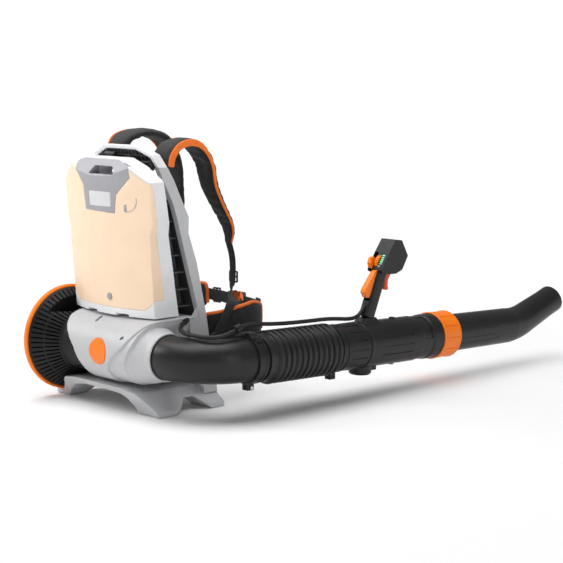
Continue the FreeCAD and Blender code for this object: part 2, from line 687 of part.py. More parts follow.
def battery_front_shell():
    """The white body of the battery, with a rim round the cover and a socket in its foot."""
    shell = WHOLE_BATTERY.cut(cover_room().fuse(panel_room()))
    for x0, x1 in ((-66, -30), (36, 72)):
        shell = shell.cut(block(x0, x1, -40, 0, 190, 202.5))
    return largest(shell.cut(handle_scoop()).cut(plug_shape(1.2)))


def button_ring(grow):
    centre = vec(20, 0, 236)
    ring = rod(7 + grow, centre + vec(0, -60, 0), centre)
    return ring.common(battery_crown(-1.2 - grow)).cut(battery_crown(2.5))


def battery_button():
    """The round key that shows the battery's charge."""
    return button_ring(0)


# ---------------------------------------------------------------- elbow and hose (drawn level)

def elbow_tube():
    """The smooth right-angle tube. Its flange is held behind the outlet spigot's lip."""
    outer = bend_solid(ELBOW_RADIUS)
    inner = bend_solid(ELBOW_RADIUS - TUBE_WALL, 1.0)
    start = turned_x([(164, ELBOW_RADIUS - TUBE_WALL), (164, 47.9), (167.4, 47.9), (167.4, ELBOW_RADIUS),
                      (182, ELBOW_RADIUS), (182, ELBOW_RADIUS - TUBE_WALL)])
    return start.fuse(outer.cut(inner)).removeSplitter()


def bend_solid(radius, extra=0.0):
    """A quarter of a torus and the straight end that goes on to the bellows."""
    centre = vec(182, BEND_RADIUS, DUCT_Z)
    face = Part.Face(Part.Wire([Part.makeCircle(radius, vec(182, 0, DUCT_Z), AXIS_X)]))
    bend = face.revolve(centre, AXIS_Z, 90)
    end = rod(radius, vec(TUBE_X, BEND_RADIUS, DUCT_Z), vec(TUBE_X, BELLOWS_START + 18 + extra, DUCT_Z))
    return bend.fuse(end)


def clamp_ring(y0, y1, inner, outer):
    """A clamp band with raised edges."""
    return turned_y([(y0, inner), (y0, outer), (y0 + 4, outer), (y0 + 4.8, outer - 1.6), (y1 - 4.8, outer - 1.6),
                     (y1 - 4, outer), (y1, outer), (y1, inner)])


def clamp_lug(y0, y1, low, reach):
    """Two ears under a clamp band, for its screw."""
    lug = block(TUBE_X - 9, TUBE_X + 9, y0, y1, DUCT_Z - low - reach, DUCT_Z - low + 3)
    lug = round_edges(lug, 3, AXIS_Y)
    slit = block(TUBE_X - 1.2, TUBE_X + 1.2, y0 - 1, y1 + 1, DUCT_Z - low - reach - 1, DUCT_Z - low + 4)
    screw = rod(2.1, vec(TUBE_X - 20, (y0 + y1) / 2, DUCT_Z - low - reach + 6),
                vec(TUBE_X + 20, (y0 + y1) / 2, DUCT_Z - low - reach + 6))
    return lug.cut(slit).cut(screw)


def clamp_rear():
    ring = clamp_ring(CLAMP_START, CLAMP_START + CLAMP_WIDTH, ELBOW_RADIUS + 0.02, 50)
    lug = clamp_lug(CLAMP_START + 4, CLAMP_START + 20, 50, 13)
    bore = rod(ELBOW_RADIUS + 0.02, vec(TUBE_X, 100, DUCT_Z), vec(TUBE_X, 150, DUCT_Z))
    return ring.fuse(lug.cut(bore)).removeSplitter()


def clamp_front():
    ring = clamp_ring(BELLOWS_END, BELLOWS_END + 20, 46.1, 51.5)
    lug = clamp_lug(BELLOWS_END + 2, BELLOWS_END + 16, 51, 15)
    bore = rod(46.1, vec(TUBE_X, BELLOWS_END - 10, DUCT_Z), vec(TUBE_X, BELLOWS_END + 40, DUCT_Z))
    return ring.fuse(lug.cut(bore)).removeSplitter()


def clamp_screw():
    """The rear clamp's cross screw with its head and nut."""
    y = CLAMP_START + CLAMP_WIDTH / 2
    z = DUCT_Z - 50 - 13 + 6
    shank = rod(2.0, vec(TUBE_X - 12, y, z), vec(TUBE_X + 12, y, z))
    head = rod(3.6, vec(TUBE_X + 9.2, y, z), vec(TUBE_X + 12, y, z))
    nut = rod(3.6, vec(TUBE_X - 12, y, z), vec(TUBE_X - 9.2, y, z))
    return shank.fuse(head).fuse(nut)


def cable_guide():
    """A saddle on the rear clamp with an arm to the open clip that holds the cable, and a ribbed catch."""
    x, y, z = CABLE_TO_CLIP[-1]
    way = (vec(*CABLE_TO_RING[1]) - vec(x, y, z)).normalize()
    centre = vec(x, y, z)
    y0 = CLAMP_START + 1
    y1 = CLAMP_START + CLAMP_WIDTH - 2
    foot = block(x - 9, x + 13, y0, y1, DUCT_Z + 44, DUCT_Z + 56)
    arm = block(x - 6, x + 6, y - 6, y0 + 8, DUCT_Z + 52, DUCT_Z + 56)
    post = block(x - 6, x + 6, y - 7, y + 7, DUCT_Z + 52, z - 3)
    ring = rod(8.4, centre - way * 8, centre + way * 8)
    hole = cord_solid(CABLE_TO_CLIP, CABLE_DIAMETER + 1).fuse(cord_solid(CABLE_TO_RING, CABLE_DIAMETER + 1))
    catch = block(x + 18, x + 30, y0, y1, DUCT_Z + 38, DUCT_Z + 47)
    ribs = [block(x + 19, x + 31, y0 + 1.5 + 4 * i, y0 + 3.5 + 4 * i, DUCT_Z + 38, DUCT_Z + 48) for i in range(5)]
    ring_room = rod(50.02, vec(TUBE_X, 80, DUCT_Z), vec(TUBE_X, 150, DUCT_Z))
    whole = foot.multiFuse([arm, post, ring, catch] + ribs)
    bridge = turned_y([(y0, 50), (y0, 53), (y1, 53), (y1, 50)]).common(block(x - 6, x + 30, 90, 140, 150, 200))
    return largest(whole.fuse(bridge).cut(ring_room).cut(hole).removeSplitter())


def bellows_half(first_ridge, y0, y1):
    """Half of the ribbed hose: six round ridges, with a smooth cuff at its outer end."""
    half_ridge = 3.6
    profile = [(y0, VALLEY_RADIUS - 3.5), (y0, VALLEY_RADIUS)]
    for i in range(RIDGES_PER_HALF):
        y = first_ridge + RIDGE_PITCH * i
        profile += [(y - half_ridge - 1.4, VALLEY_RADIUS), (y - half_ridge, VALLEY_RADIUS + 3.6),
                    (y - half_ridge + 1.6, RIDGE_RADIUS - 0.6), (y - 1, RIDGE_RADIUS), (y + 1, RIDGE_RADIUS),
                    (y + half_ridge - 1.6, RIDGE_RADIUS - 0.6), (y + half_ridge, VALLEY_RADIUS + 3.6),
                    (y + half_ridge + 1.4, VALLEY_RADIUS)]
    profile += [(y1, VALLEY_RADIUS), (y1, VALLEY_RADIUS - 3.5)]
    return turned_y(profile)


def bellows_rear():
    return bellows_half(RIDGE_FIRST, BELLOWS_START, BELLOWS_PIVOT - RING_HALF)


def bellows_front():
    return bellows_half(RIDGE_FIRST + RIDGE_PITCH * RIDGES_PER_HALF, BELLOWS_PIVOT + RING_HALF, BELLOWS_END - 0.4)


def bellows_ring():
    """The stiff wire ring in the middle of the bellows."""
    return turned_y([(BELLOWS_PIVOT - RING_HALF, VALLEY_RADIUS - 3.5), (BELLOWS_PIVOT - RING_HALF, VALLEY_RADIUS),
                     (BELLOWS_PIVOT, VALLEY_RADIUS + 1.0), (BELLOWS_PIVOT + RING_HALF, VALLEY_RADIUS),
                     (BELLOWS_PIVOT + RING_HALF, VALLEY_RADIUS - 3.5)])


# ---------------------------------------------------------------- blower tube (drawn level)

def control_sleeve():
    """The tube that carries the handle: a grooved collar, a seam, the main sleeve and a stepped neck."""
    wall_in = 45.6
    body = turned_y([(335, wall_in - 2.6), (335, wall_in), (BELLOWS_END + 21, wall_in), (BELLOWS_END + 21, 50.6),
                     (427, 51.4), (428, 49.4), (431, 49.4), (SLEEVE_START, SLEEVE_RADIUS + 1.2),
                     (SLEEVE_START + 7, SLEEVE_RADIUS + 1.2), (SLEEVE_START + 9, SLEEVE_RADIUS),
                     (SLEEVE_END, SLEEVE_RADIUS), (SLEEVE_END + 3, 48.6), (636, 48.6), (638, 50.4),
                     (NECK_END - 0.4, 51.2), (NECK_END - 0.4, 49.5), (NUT_END - 30, 48.5), (NUT_END - 30, wall_in),
                     (480, wall_in), (470, wall_in - 2.6)])
    groove = block(TUBE_X - 1.5, TUBE_X + 1.5, 372, 420, DUCT_Z + 49.6, DUCT_Z + 60)
    body = body.cut(groove.multiFuse(around_y(groove, 16)[1:]))
    for angle in (68, 90, 112):
        long_groove = block(TUBE_X - 1.4, TUBE_X + 1.4, 470, 566, DUCT_Z + 49.0, DUCT_Z + 60)
        body = body.cut(long_groove.rotated(HOSE_POINT, AXIS_Y, angle))
        body = body.cut(long_groove.rotated(HOSE_POINT, AXIS_Y, -angle))
    window = block(TUBE_X + 10, TUBE_X + 60, 606, 632, DUCT_Z + 4, DUCT_Z + 60).cut(
        rod(46.8, vec(TUBE_X, 590, DUCT_Z), vec(TUBE_X, 640, DUCT_Z)))
    nubs = [block(TUBE_X - 5, TUBE_X + 5, 540, 549, DUCT_Z + 48, DUCT_Z + 53),
            block(TUBE_X - 5, TUBE_X + 5, 540, 549, DUCT_Z - 53, DUCT_Z - 48)]
    boss = rod(25, vec(TUBE_X, 447, 60), vec(TUBE_X, 447, 84))
    boss = boss.makeFillet(7, [e for e in boss.Edges if abs(e.BoundBox.ZMax - 60) < 0.01])
    heel = block(TUBE_X - 14, TUBE_X + 14, 436, 484, 68, 84)
    solid_bore = rod(47, vec(TUBE_X, 300, DUCT_Z), vec(TUBE_X, 700, DUCT_Z))
    added = boss.multiFuse([heel] + nubs + [handle_saddle()]).cut(solid_bore)
    return largest(body.cut(window).fuse(added))


def handle_saddle():
    """A flared foot for the grip, on top of the sleeve."""
    foot = Part.makePolygon([vec(TUBE_X - 20, 436, 166), vec(TUBE_X + 20, 436, 166), vec(TUBE_X + 20, 492, 166),
                             vec(TUBE_X - 20, 492, 166), vec(TUBE_X - 20, 436, 166)])
    neck = Part.makePolygon([vec(TUBE_X - 14, 449, 184), vec(TUBE_X + 14, 449, 184), vec(TUBE_X + 14, 479, 184),
                             vec(TUBE_X - 14, 479, 184), vec(TUBE_X - 14, 449, 184)])
    return Part.makeLoft([foot, neck], True, True)


def grip_section(centre, wide, deep):
    """An oval section of the grip, square to its lean."""
    ellipse = Part.Ellipse(centre, max(wide, deep), min(wide, deep))
    return Part.Wire([ellipse.toShape()])


GRIP_FOOT = vec(TUBE_X, 462, 184.3)
GRIP_TOP = vec(TUBE_X, 500, 283)


def handle_grip():
    """The grip's two half shells, closed, with the lockout's and trigger's pockets."""
    way = (GRIP_TOP - GRIP_FOOT).normalize()
    length = (GRIP_TOP - GRIP_FOOT).Length
    body = Part.makeBox(29, 29, length, GRIP_FOOT + vec(-14.5, -14.5, 0))
    body = round_edges(body, 9, AXIS_Z)
    lean = math.degrees(math.atan2(way.y, way.z))
    body = body.rotated(GRIP_FOOT, AXIS_X, -lean)
    body = body.cut(block(TUBE_X - 40, TUBE_X + 40, 400, 520, 150, 184.3))
    pockets = trigger_room().fuse(lockout_room())
    return largest(body.cut(pockets).cut(head_outer()))


HEAD_SIDE = [(526, 352), (505, 322), (483, 286), (487, 281), (508, 277), (531, 277), (551, 285), (568, 315),
             (547, 350)]
HEAD_HALF_WIDTH = 21.0
WHEEL_CENTRE = (506.5, 299.0)
REAR_FACE_TILT = 58.6       # degrees that the control face rises from level


def head_outer():
    body = from_side(HEAD_SIDE, TUBE_X - HEAD_HALF_WIDTH, TUBE_X + HEAD_HALF_WIDTH)
    return round_edges(body, 4, AXIS_X)


def disc_room(x0, x1, radius):
    y, z = WHEEL_CENTRE
    return rod(radius, vec(x0, y, z), vec(x1, y, z))


def control_head():
    """The head of the handle, with slots for the lever and the wheel, a window and a key's hole."""
    head = head_outer()
    head = head.cut(disc_room(TUBE_X - 18.5, TUBE_X - 8.5, 24.5)).cut(disc_room(TUBE_X - 6.5, TUBE_X + 3.5, 19.0))
    head = head.fuse(disc_room(TUBE_X - 19, TUBE_X + 4, 4.0)).removeSplitter()
    head = head.cut(face_block(6.0, 14.0, 15.2, 39.8, -1.6, 5)).cut(face_rod(10.0, 9.5, 3.8, -6, 5))
    return largest(head.cut(trigger_room()).cut(lockout_room()).cut(cruise_room()))


def cruise_room():
    """Room for the thumb lever to swing past the head's corner."""
    y, z = WHEEL_CENTRE
    return rod(28.5, vec(TUBE_X - 18.5, y, z), vec(TUBE_X - 8.5, y, z)).common(
        block(TUBE_X - 30, TUBE_X, 440, y - 8, 250, 340))


def face_place(shape):
    """Moves a shape drawn on a level face (x across, y up the face, z out of it) onto the control face."""
    turned = shape.rotated(vec(0, 0, 0), AXIS_X, REAR_FACE_TILT)
    return turned.translated(vec(TUBE_X, 483, 286))


def face_block(x0, x1, up0, up1, out0, out1):
    return face_place(block(x0, x1, up0, up1, out0, out1))


def face_rod(x, up, radius, out0, out1):
    return face_place(rod(radius, vec(x, up, out0), vec(x, up, out1)))


def display_strip():
    """The lit window that shows the charge and the power level."""
    return face_block(6.2, 13.8, 15.4, 39.6, -1.5, 0.6)


def mode_button():
    return face_rod(10.0, 9.5, 3.5, -3.0, 2.4)


def thumb_wheel():
    """A notched wheel on the head's inner axle."""
    x0 = TUBE_X - 6.0
    x1 = TUBE_X + 3.0
    wheel = disc_room(x0, x1, 18.5).cut(disc_room(x0 - 1, x1 + 1, 4.06))
    y, z = WHEEL_CENTRE
    notch = rod(1.6, vec(x0 - 1, y, z + 19.3), vec(x1 + 1, y, z + 19.3))
    centre = vec(0, y, z)
    notches = [notch.rotated(centre, AXIS_X, 360.0 * i / 20) for i in range(20)]
    return wheel.cut(notches[0].multiFuse(notches[1:]))


def throttle_lever():
    """The thumb lever beside the wheel: a hub with a wide curved tab."""
    x0 = TUBE_X - 18.0
    x1 = TUBE_X - 9.0
    y, z = WHEEL_CENTRE
    hub = disc_room(x0, x1, 9.0)
    tab = from_side([(y - 4, z + 6), (y - 17, z + 15), (y - 24.5, z + 12), (y - 27.5, z + 2), (y - 25, z - 8),
                     (y - 20, z - 11), (y - 4, z - 6)], x0, x1)
    return hub.fuse(tab).removeSplitter().cut(disc_room(x0 - 1, x1 + 1, 4.06))


TRIGGER_PIN = (526.0, 283.0)
LOCKOUT_PIN = (487.0, 281.5)


def trigger():
    """The red trigger in front of the grip; its hub turns on a pin in the head."""
    y, z = TRIGGER_PIN
    blade = from_side([(y - 3, z + 3), (y + 5, z + 1), (y + 3, z - 9), (y - 4, z - 21), (y - 5, z - 33),
                       (y - 3, z - 40), (y - 7, z - 43), (y - 15, z - 41), (y - 14, z - 21)], TUBE_X - 6, TUBE_X + 6)
    hub = rod(5, vec(TUBE_X - 6, y, z), vec(TUBE_X + 6, y, z))
    return blade.fuse(hub).removeSplitter().cut(rod(2.05, vec(TUBE_X - 8, y, z), vec(TUBE_X + 8, y, z)))


def trigger_room():
    """A slot wide enough for the trigger's travel, with its pin left standing across it."""
    y, z = TRIGGER_PIN
    room = from_side([(y - 12, z + 8), (y + 9, z + 8), (y + 9, z - 12), (y + 3, z - 26), (y + 3, z - 47),
                      (y - 27, z - 47), (y - 22, z - 21)], TUBE_X - 6.6, TUBE_X + 6.6)
    return room.cut(rod(2.0, vec(TUBE_X - 8, y, z), vec(TUBE_X + 8, y, z)))


def lockout_lever():
    """The orange lockout along the back of the grip, pressed by the palm."""
    y, z = LOCKOUT_PIN
    blade = from_side([(y - 8, z + 1), (y + 3, z + 3), (y + 3, z - 4), (y - 13, z - 37), (y - 24, z - 54),
                       (y - 31, z - 54), (y - 39, z - 42), (y - 37, z - 36)], TUBE_X - 7, TUBE_X + 7)
    hub = rod(4.6, vec(TUBE_X - 7, y, z), vec(TUBE_X + 7, y, z))
    return blade.fuse(hub).removeSplitter().cut(rod(2.05, vec(TUBE_X - 8, y, z), vec(TUBE_X + 8, y, z)))


def lockout_room():
    y, z = LOCKOUT_PIN
    room = from_side([(y - 16, z + 7), (y + 8, z + 7), (y + 8, z - 8), (y + 4, z - 34), (y - 5, z - 61),
                      (y - 45, z - 61), (y - 45, z - 20)], TUBE_X - 7.6, TUBE_X + 7.6)
    return room.cut(rod(2.0, vec(TUBE_X - 8, y, z), vec(TUBE_X + 8, y, z)))


def union_nut():
    """The orange union nut, with flats divided by grooves."""
    ring = turned_y([(NECK_END, NUT_RADIUS - 3.2), (NECK_END, NUT_RADIUS - 0.8), (NECK_END + 1.5, NUT_RADIUS),
                     (NECK_END + 7, NUT_RADIUS), (NECK_END + 9, NUT_RADIUS - 1), (NUT_END - 7, NUT_RADIUS - 1),
                     (NUT_END - 5, NUT_RADIUS), (NUT_END - 1.5, NUT_RADIUS), (NUT_END, NUT_RADIUS - 1.2),
                     (NUT_END, NOZZLE_RADIUS + 1.0), (NUT_END - 4, NOZZLE_RADIUS + 1.0), (NUT_END - 6, 49.3),
                     (NECK_END + 2, 50.2)])
    groove = block(TUBE_X - 0.9, TUBE_X + 0.9, NECK_END + 8, NUT_END - 6, DUCT_Z + NUT_RADIUS - 2.2, DUCT_Z + 60)
    return ring.cut(groove.multiFuse(around_y(groove, NUT_FACETS)[1:]))


def circle_at(angle, radius):
    """A section of the nozzle's bend, at an angle from its start."""
    turn = math.radians(angle)
    centre = vec(TUBE_X, NOZZLE_BEND_START + NOZZLE_BEND_SIZE * math.sin(turn),
                 DUCT_Z + NOZZLE_BEND_SIZE * (1 - math.cos(turn)))
    return Part.Wire([Part.makeCircle(radius, centre, vec(0, math.cos(turn), math.sin(turn)))])


BEND_END = vec(TUBE_X, NOZZLE_BEND_START + NOZZLE_BEND_SIZE * math.sin(math.radians(NOZZLE_BEND)),
               DUCT_Z + NOZZLE_BEND_SIZE * (1 - math.cos(math.radians(NOZZLE_BEND))))
TIP_WAY = vec(0, math.cos(math.radians(NOZZLE_BEND)), math.sin(math.radians(NOZZLE_BEND)))


def nozzle_solid(shrink, extra):
    """The nozzle's outside, or its bore when shrunk: a slim cone, a bend and a narrower mouth."""
    straight = turned_y([(NOZZLE_START - extra, 0), (NOZZLE_START - extra, NOZZLE_RADIUS - shrink),
                         (NUT_END + 5, NOZZLE_RADIUS - shrink),
                         (NOZZLE_BEND_START, NOZZLE_BEND_RADIUS - shrink), (NOZZLE_BEND_START, 0)])
    steps = 5
    sections = []
    for i in range(steps + 1):
        share = i / steps
        radius = NOZZLE_BEND_RADIUS + (NOZZLE_AFTER_BEND - NOZZLE_BEND_RADIUS) * share
        sections.append(circle_at(NOZZLE_BEND * share, radius - shrink))
    bend = Part.makeLoft(sections, True, False)
    taper = Part.makeCone(NOZZLE_AFTER_BEND - shrink, TIP_OUTER - shrink, TIP_REACH - TIP_LENGTH, BEND_END, TIP_WAY)
    mouth_start = BEND_END + TIP_WAY * (TIP_REACH - TIP_LENGTH)
    mouth = rod(TIP_OUTER - shrink, mouth_start, mouth_start + TIP_WAY * (TIP_LENGTH + extra))
    return straight.multiFuse([bend, taper, mouth])


def nozzle_tube():
    return nozzle_solid(0, 0).cut(nozzle_solid(TIP_OUTER - TIP_BORE, 2)).removeSplitter()


# ---------------------------------------------------------------- all nodes

STILL = [base_frame, housing_rear, housing_front, rear_badge, cable_gland, housing_screws, intake_rim, intake_cap,
         intake_grille, intake_band, duct_liner, stator_vanes, motor_stator, shaft_bearings, motor_shaft, impeller,
         controller_box, side_panel_right, side_panel_left, top_rim, back_plate, rib_rails, latch_bracket,
         battery_latch, shoulder_strap_right, shoulder_strap_left, strap_webbing, back_pads, hip_pad_right, hip_pad_left, belt_webbing, belt_buckle,
         contact_plug, battery_rear_shell, battery_front_shell, battery_handle_panel, battery_label, battery_button]
DROOPED = [elbow_tube, clamp_rear, clamp_screw, cable_guide, bellows_rear, bellows_ring, bellows_front, clamp_front,
           control_sleeve, handle_grip, control_head, display_strip, mode_button, thumb_wheel, throttle_lever,
           trigger, lockout_lever, union_nut, nozzle_tube]
CABLES = {"cable_loop": CABLE_TO_CLIP, "cable_hose_rear": CABLE_TO_RING, "cable_hose_front": CABLE_TO_GRIP}


def all_nodes():
    for name, route in CABLES.items():
        print_cord(name, route, CABLE_DIAMETER)
    nodes = {make.__name__: make() for make in STILL}
    nodes.update({make.__name__: drooped(make()) for make in DROOPED})
    nodes.update({name: drooped(cord_solid(route, CABLE_DIAMETER)) for name, route in CABLES.items()})
    nodes["cable_hose_rear"] = drooped(trimmed_cord(CABLE_TO_RING, CABLE_DIAMETER))
    return nodes


def main():
    os.makedirs("parts", exist_ok=True)
    whole = FreeCAD.BoundBox()
    for name, shape in all_nodes().items():
        placed = shape.translated(ORIGIN_SHIFT)
        whole.add(placed.BoundBox)
        print(name, "solids", len(placed.Solids), "volume", round(placed.Volume), "valid", placed.isValid())
        placed.exportStep("parts/" + name + ".step")
    print("box", [round(v, 1) for v in (whole.XMin, whole.XMax, whole.YMin, whole.YMax, whole.ZMin, whole.ZMax)])


main()
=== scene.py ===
import json
import math

import bmesh
import bpy
from mathutils import Matrix, Vector, noise
from mathutils.bvhtree import BVHTree


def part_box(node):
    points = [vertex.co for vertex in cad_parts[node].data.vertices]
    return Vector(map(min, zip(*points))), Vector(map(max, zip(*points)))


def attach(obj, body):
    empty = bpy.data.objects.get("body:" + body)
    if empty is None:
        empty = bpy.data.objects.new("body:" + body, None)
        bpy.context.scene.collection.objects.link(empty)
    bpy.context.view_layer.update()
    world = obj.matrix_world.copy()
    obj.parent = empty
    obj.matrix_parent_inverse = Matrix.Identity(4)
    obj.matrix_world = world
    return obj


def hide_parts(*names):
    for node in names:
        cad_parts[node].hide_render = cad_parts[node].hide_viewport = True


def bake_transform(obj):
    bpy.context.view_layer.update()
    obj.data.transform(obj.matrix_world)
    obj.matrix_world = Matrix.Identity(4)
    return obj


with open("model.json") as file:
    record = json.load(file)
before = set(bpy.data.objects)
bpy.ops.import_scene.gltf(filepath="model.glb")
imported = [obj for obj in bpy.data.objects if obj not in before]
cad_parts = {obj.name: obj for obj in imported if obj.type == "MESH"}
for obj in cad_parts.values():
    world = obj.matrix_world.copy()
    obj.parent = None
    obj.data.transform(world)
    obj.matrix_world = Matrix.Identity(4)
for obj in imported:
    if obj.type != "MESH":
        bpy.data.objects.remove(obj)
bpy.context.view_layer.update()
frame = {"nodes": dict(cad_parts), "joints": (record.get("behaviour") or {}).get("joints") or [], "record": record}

# The machine's own frame: millimetres, x from the middle of the back, y from the duct's axis and
# z from the floor. LEVEL places it in the row frame; HOSE also turns it down about the duct's axis,
# as the elbow, the hose and the tube hang.
MM = 0.001
JOINTS = {joint["name"]: joint for joint in frame["joints"]}


def middle(node):
    low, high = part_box(node)
    return (low + high) / 2


DUCT = middle("intake_rim")
LEVEL = Matrix.Translation((middle("battery_front_shell").x, DUCT.y, 0)) @ Matrix.Scale(MM, 4)
HOSE_WAY = Vector(JOINTS["nut_turn"]["axis"])
DROOP = math.atan2(-HOSE_WAY.z, HOSE_WAY.y)
HOSE = Matrix.Translation(DUCT) @ Matrix.Rotation(-DROOP, 4, "X") @ Matrix.Translation(-DUCT) @ LEVEL
DUCT_Z = DUCT.z / MM
TUBE_X = (middle("union_nut").x - LEVEL.translation.x) / MM
RIGHT = Vector((1, 0, 0))
UP = Vector((0, 0, 1))


# ---------------------------------------------------------------- camera, light and floor

CAMERA_AZIMUTH = 46.9
CAMERA_HEIGHT = 8.0
CAMERA_TARGET = Vector((0.02776, -0.12782, 0.2368))
CAMERA_DISTANCE = 3.3333
CAMERA_LENS = 95.9
# FLOOR_HEART is the centre of the floor's glow; set behind the machine, the glow also pales the floor's shadow
# towards the nozzle: painted light on the floor.
FLOOR_HEART = (-0.05, -0.45, 0.0)
FLOOR_NEAR = 0.45           # the floor glows white from here outwards, so that it has no horizon
FLOOR_FAR = 1.7


def camera():
    data = bpy.data.cameras.new("camera")
    data.lens = CAMERA_LENS
    data.sensor_width = 36
    data.clip_end = 100
    eye = bpy.data.objects.new("camera", data)
    bpy.context.scene.collection.objects.link(eye)
    azimuth = math.radians(CAMERA_AZIMUTH)
    height = math.radians(CAMERA_HEIGHT)
    look = Vector((-math.sin(azimuth) * math.cos(height), math.cos(azimuth) * math.cos(height),
                   -math.sin(height)))
    eye.location = CAMERA_TARGET - look * CAMERA_DISTANCE
    eye.rotation_euler = look.to_track_quat("-Z", "Y").to_euler()
    bpy.context.scene.camera = eye


def area_light(name, place, target, size, power):
    data = bpy.data.lights.new(name, "AREA")
    data.shape = "RECTANGLE"
    data.size, data.size_y = size
    data.energy = power
    lamp = bpy.data.objects.new(name, data)
    bpy.context.scene.collection.objects.link(lamp)
    lamp.location = place
    lamp.rotation_euler = (Vector(target) - Vector(place)).to_track_quat("-Z", "Y").to_euler()


def studio():
    """A white studio: bright near the horizon, dimmer above, with a large softbox over the machine."""
    scene = bpy.context.scene
    scene.view_settings.view_transform = "Standard"
    scene.view_settings.look = "None"
    world = bpy.data.worlds.new("studio")
    scene.world = world
    world.use_nodes = True
    tree = world.node_tree
    height = node(tree, "SeparateXYZ", {0: node(tree, "TexCoord").outputs["Generated"]}).outputs[2]
    sky = mix(tree, remap(tree, height, 0.06, 0.22, 0.0, 1.0), (1.02, 1.02, 1.02), (0.24, 0.24, 0.245))
    tree.links.new(sky, tree.nodes["Background"].inputs[0])
    heart = (0.0, -0.2, 0.2)
    area_light("overhead", (-0.3, -0.5, 2.4), (0, 0, 0), (2.4, 2.4), 74)
    area_light("left", (-2.0, -2.0, 1.6), heart, (1.0, 1.0), 24)
    area_light("right", (2.6, -0.6, 1.1), heart, (0.7, 1.6), 7)
    bpy.ops.mesh.primitive_plane_add(size=60, location=(0, 0, -0.0004))
    floor = bpy.context.object
    floor.name = "floor"
    mat, tree, shader = blank_material("floor")
    place = node(tree, "TexCoord").outputs["Object"]
    cloud = node(tree, "TexNoise", {"Vector": place, "Scale": 1.3, "Detail": 2.0})
    shader.inputs["Roughness"].default_value = 0.7
    shader.inputs["Specular IOR Level"].default_value = 0.1
    aside = node(tree, "VectorMath", {0: place, 1: FLOOR_HEART}, operation="SUBTRACT").outputs[0]
    away = node(tree, "VectorMath", {0: aside}, operation="LENGTH").outputs["Value"]
    far = remap(tree, away, FLOOR_NEAR, FLOOR_FAR, 0.0, 1.0)
    glow = mix(tree, far, (0.0, 0.0, 0.0), (1.02, 1.02, 1.02))
    tree.links.new(glow, shader.inputs["Emission Color"])
    shader.inputs["Emission Strength"].default_value = 1.0
    tint = mix(tree, cloud.outputs["Fac"], (0.86, 0.86, 0.865), (0.88, 0.88, 0.88))
    dim = mix(tree, far, tint, (0.0, 0.0, 0.0))
    tree.links.new(dim, shader.inputs["Base Color"])
    floor.data.materials.append(mat)


# ---------------------------------------------------------------- material nodes

def blank_material(name):
    mat = bpy.data.materials.new(name)
    mat.use_nodes = True
    tree = mat.node_tree
    tree.nodes.clear()
    out = tree.nodes.new("ShaderNodeOutputMaterial")
    shader = tree.nodes.new("ShaderNodeBsdfPrincipled")
    tree.links.new(shader.outputs[0], out.inputs[0])
    return mat, tree, shader


def node(tree, kind, inputs=None, **settings):
    made = tree.nodes.new("ShaderNode" + kind)
    for key, value in settings.items():
        setattr(made, key, value)
    for key, value in (inputs or {}).items():
        if isinstance(value, bpy.types.NodeSocket):
            tree.links.new(value, made.inputs[key])
        else:
            made.inputs[key].default_value = value
    return made


def mix(tree, share, a, b):
    """A colour between a and b."""
    made = node(tree, "Mix", data_type="RGBA")
    for index, value in ((0, share), (6, a), (7, b)):
        if isinstance(value, bpy.types.NodeSocket):
            tree.links.new(value, made.inputs[index])
        else:
            made.inputs[index].default_value = value if index == 0 else (*value, 1)
    return made.outputs[2]


def remap(tree, value, low, high, to_low, to_high):
    return node(tree, "MapRange", {"Value": value, "From Min": low, "From Max": high, "To Min": to_low,
                                   "To Max": to_high}).outputs["Result"]


def maths(tree, operation, a, b=0.0):
    return node(tree, "Math", {0: a, 1: b}, operation=operation).outputs[0]


def lighter(colour, share):
    return tuple(min(1.0, c * (1 + 2 * share)) for c in colour)


def darker(colour, share):
    return tuple(c * (1 - share) for c in colour)


def edge_mask(tree, radius):
    """1 along sharp edges and 0 on the flats, for light wear."""
    soft = node(tree, "Bevel", {"Radius": radius}, samples=4).outputs[0]
    plain = node(tree, "NewGeometry").outputs["Normal"]
    same = node(tree, "VectorMath", {0: soft, 1: plain}, operation="DOT_PRODUCT").outputs["Value"]
    return remap(tree, same, 0.995, 0.90, 0.0, 1.0)


def plastic(name, colour, roughness, grain=0.5, depth=0.02, wear=0.12, coat=0.0, spread=0.05, shine=0.5):
    """Moulded plastic: cloudy tone, a fine spark-eroded grain and slightly worn, paler edges."""
    mat, tree, shader = blank_material(name)
    place = node(tree, "TexCoord").outputs["Object"]
    cloud = node(tree, "TexNoise", {"Vector": place, "Scale": 22.0, "Detail": 5.0, "Roughness": 0.6})
    fine = node(tree, "TexNoise", {"Vector": place, "Scale": 1 / (grain * MM), "Detail": 3.0})
    smudge = node(tree, "TexNoise", {"Vector": place, "Scale": 95.0, "Detail": 6.0, "Distortion": 0.6})
    tone = mix(tree, remap(tree, cloud.outputs["Fac"], 0.3, 0.7, 0.0, 1.0), darker(colour, spread),
               lighter(colour, spread * 0.4))
    worn = maths(tree, "MULTIPLY", edge_mask(tree, 0.9 * MM),
                 remap(tree, smudge.outputs["Fac"], 0.38, 0.62, 0.2, 1.0))
    tone = mix(tree, worn, tone, lighter(colour, wear))
    tree.links.new(tone, shader.inputs["Base Color"])
    rough = remap(tree, smudge.outputs["Fac"], 0.3, 0.7, roughness - 0.05, roughness + 0.07)
    tree.links.new(rough, shader.inputs["Roughness"])
    bump = node(tree, "Bump", {"Height": fine.outputs["Fac"], "Strength": 0.35, "Distance": depth * MM})
    tree.links.new(bump.outputs[0], shader.inputs["Normal"])
    shader.inputs["Specular IOR Level"].default_value = shine
    shader.inputs["Coat Weight"].default_value = coat
    shader.inputs["Coat Roughness"].default_value = 0.12
    return mat


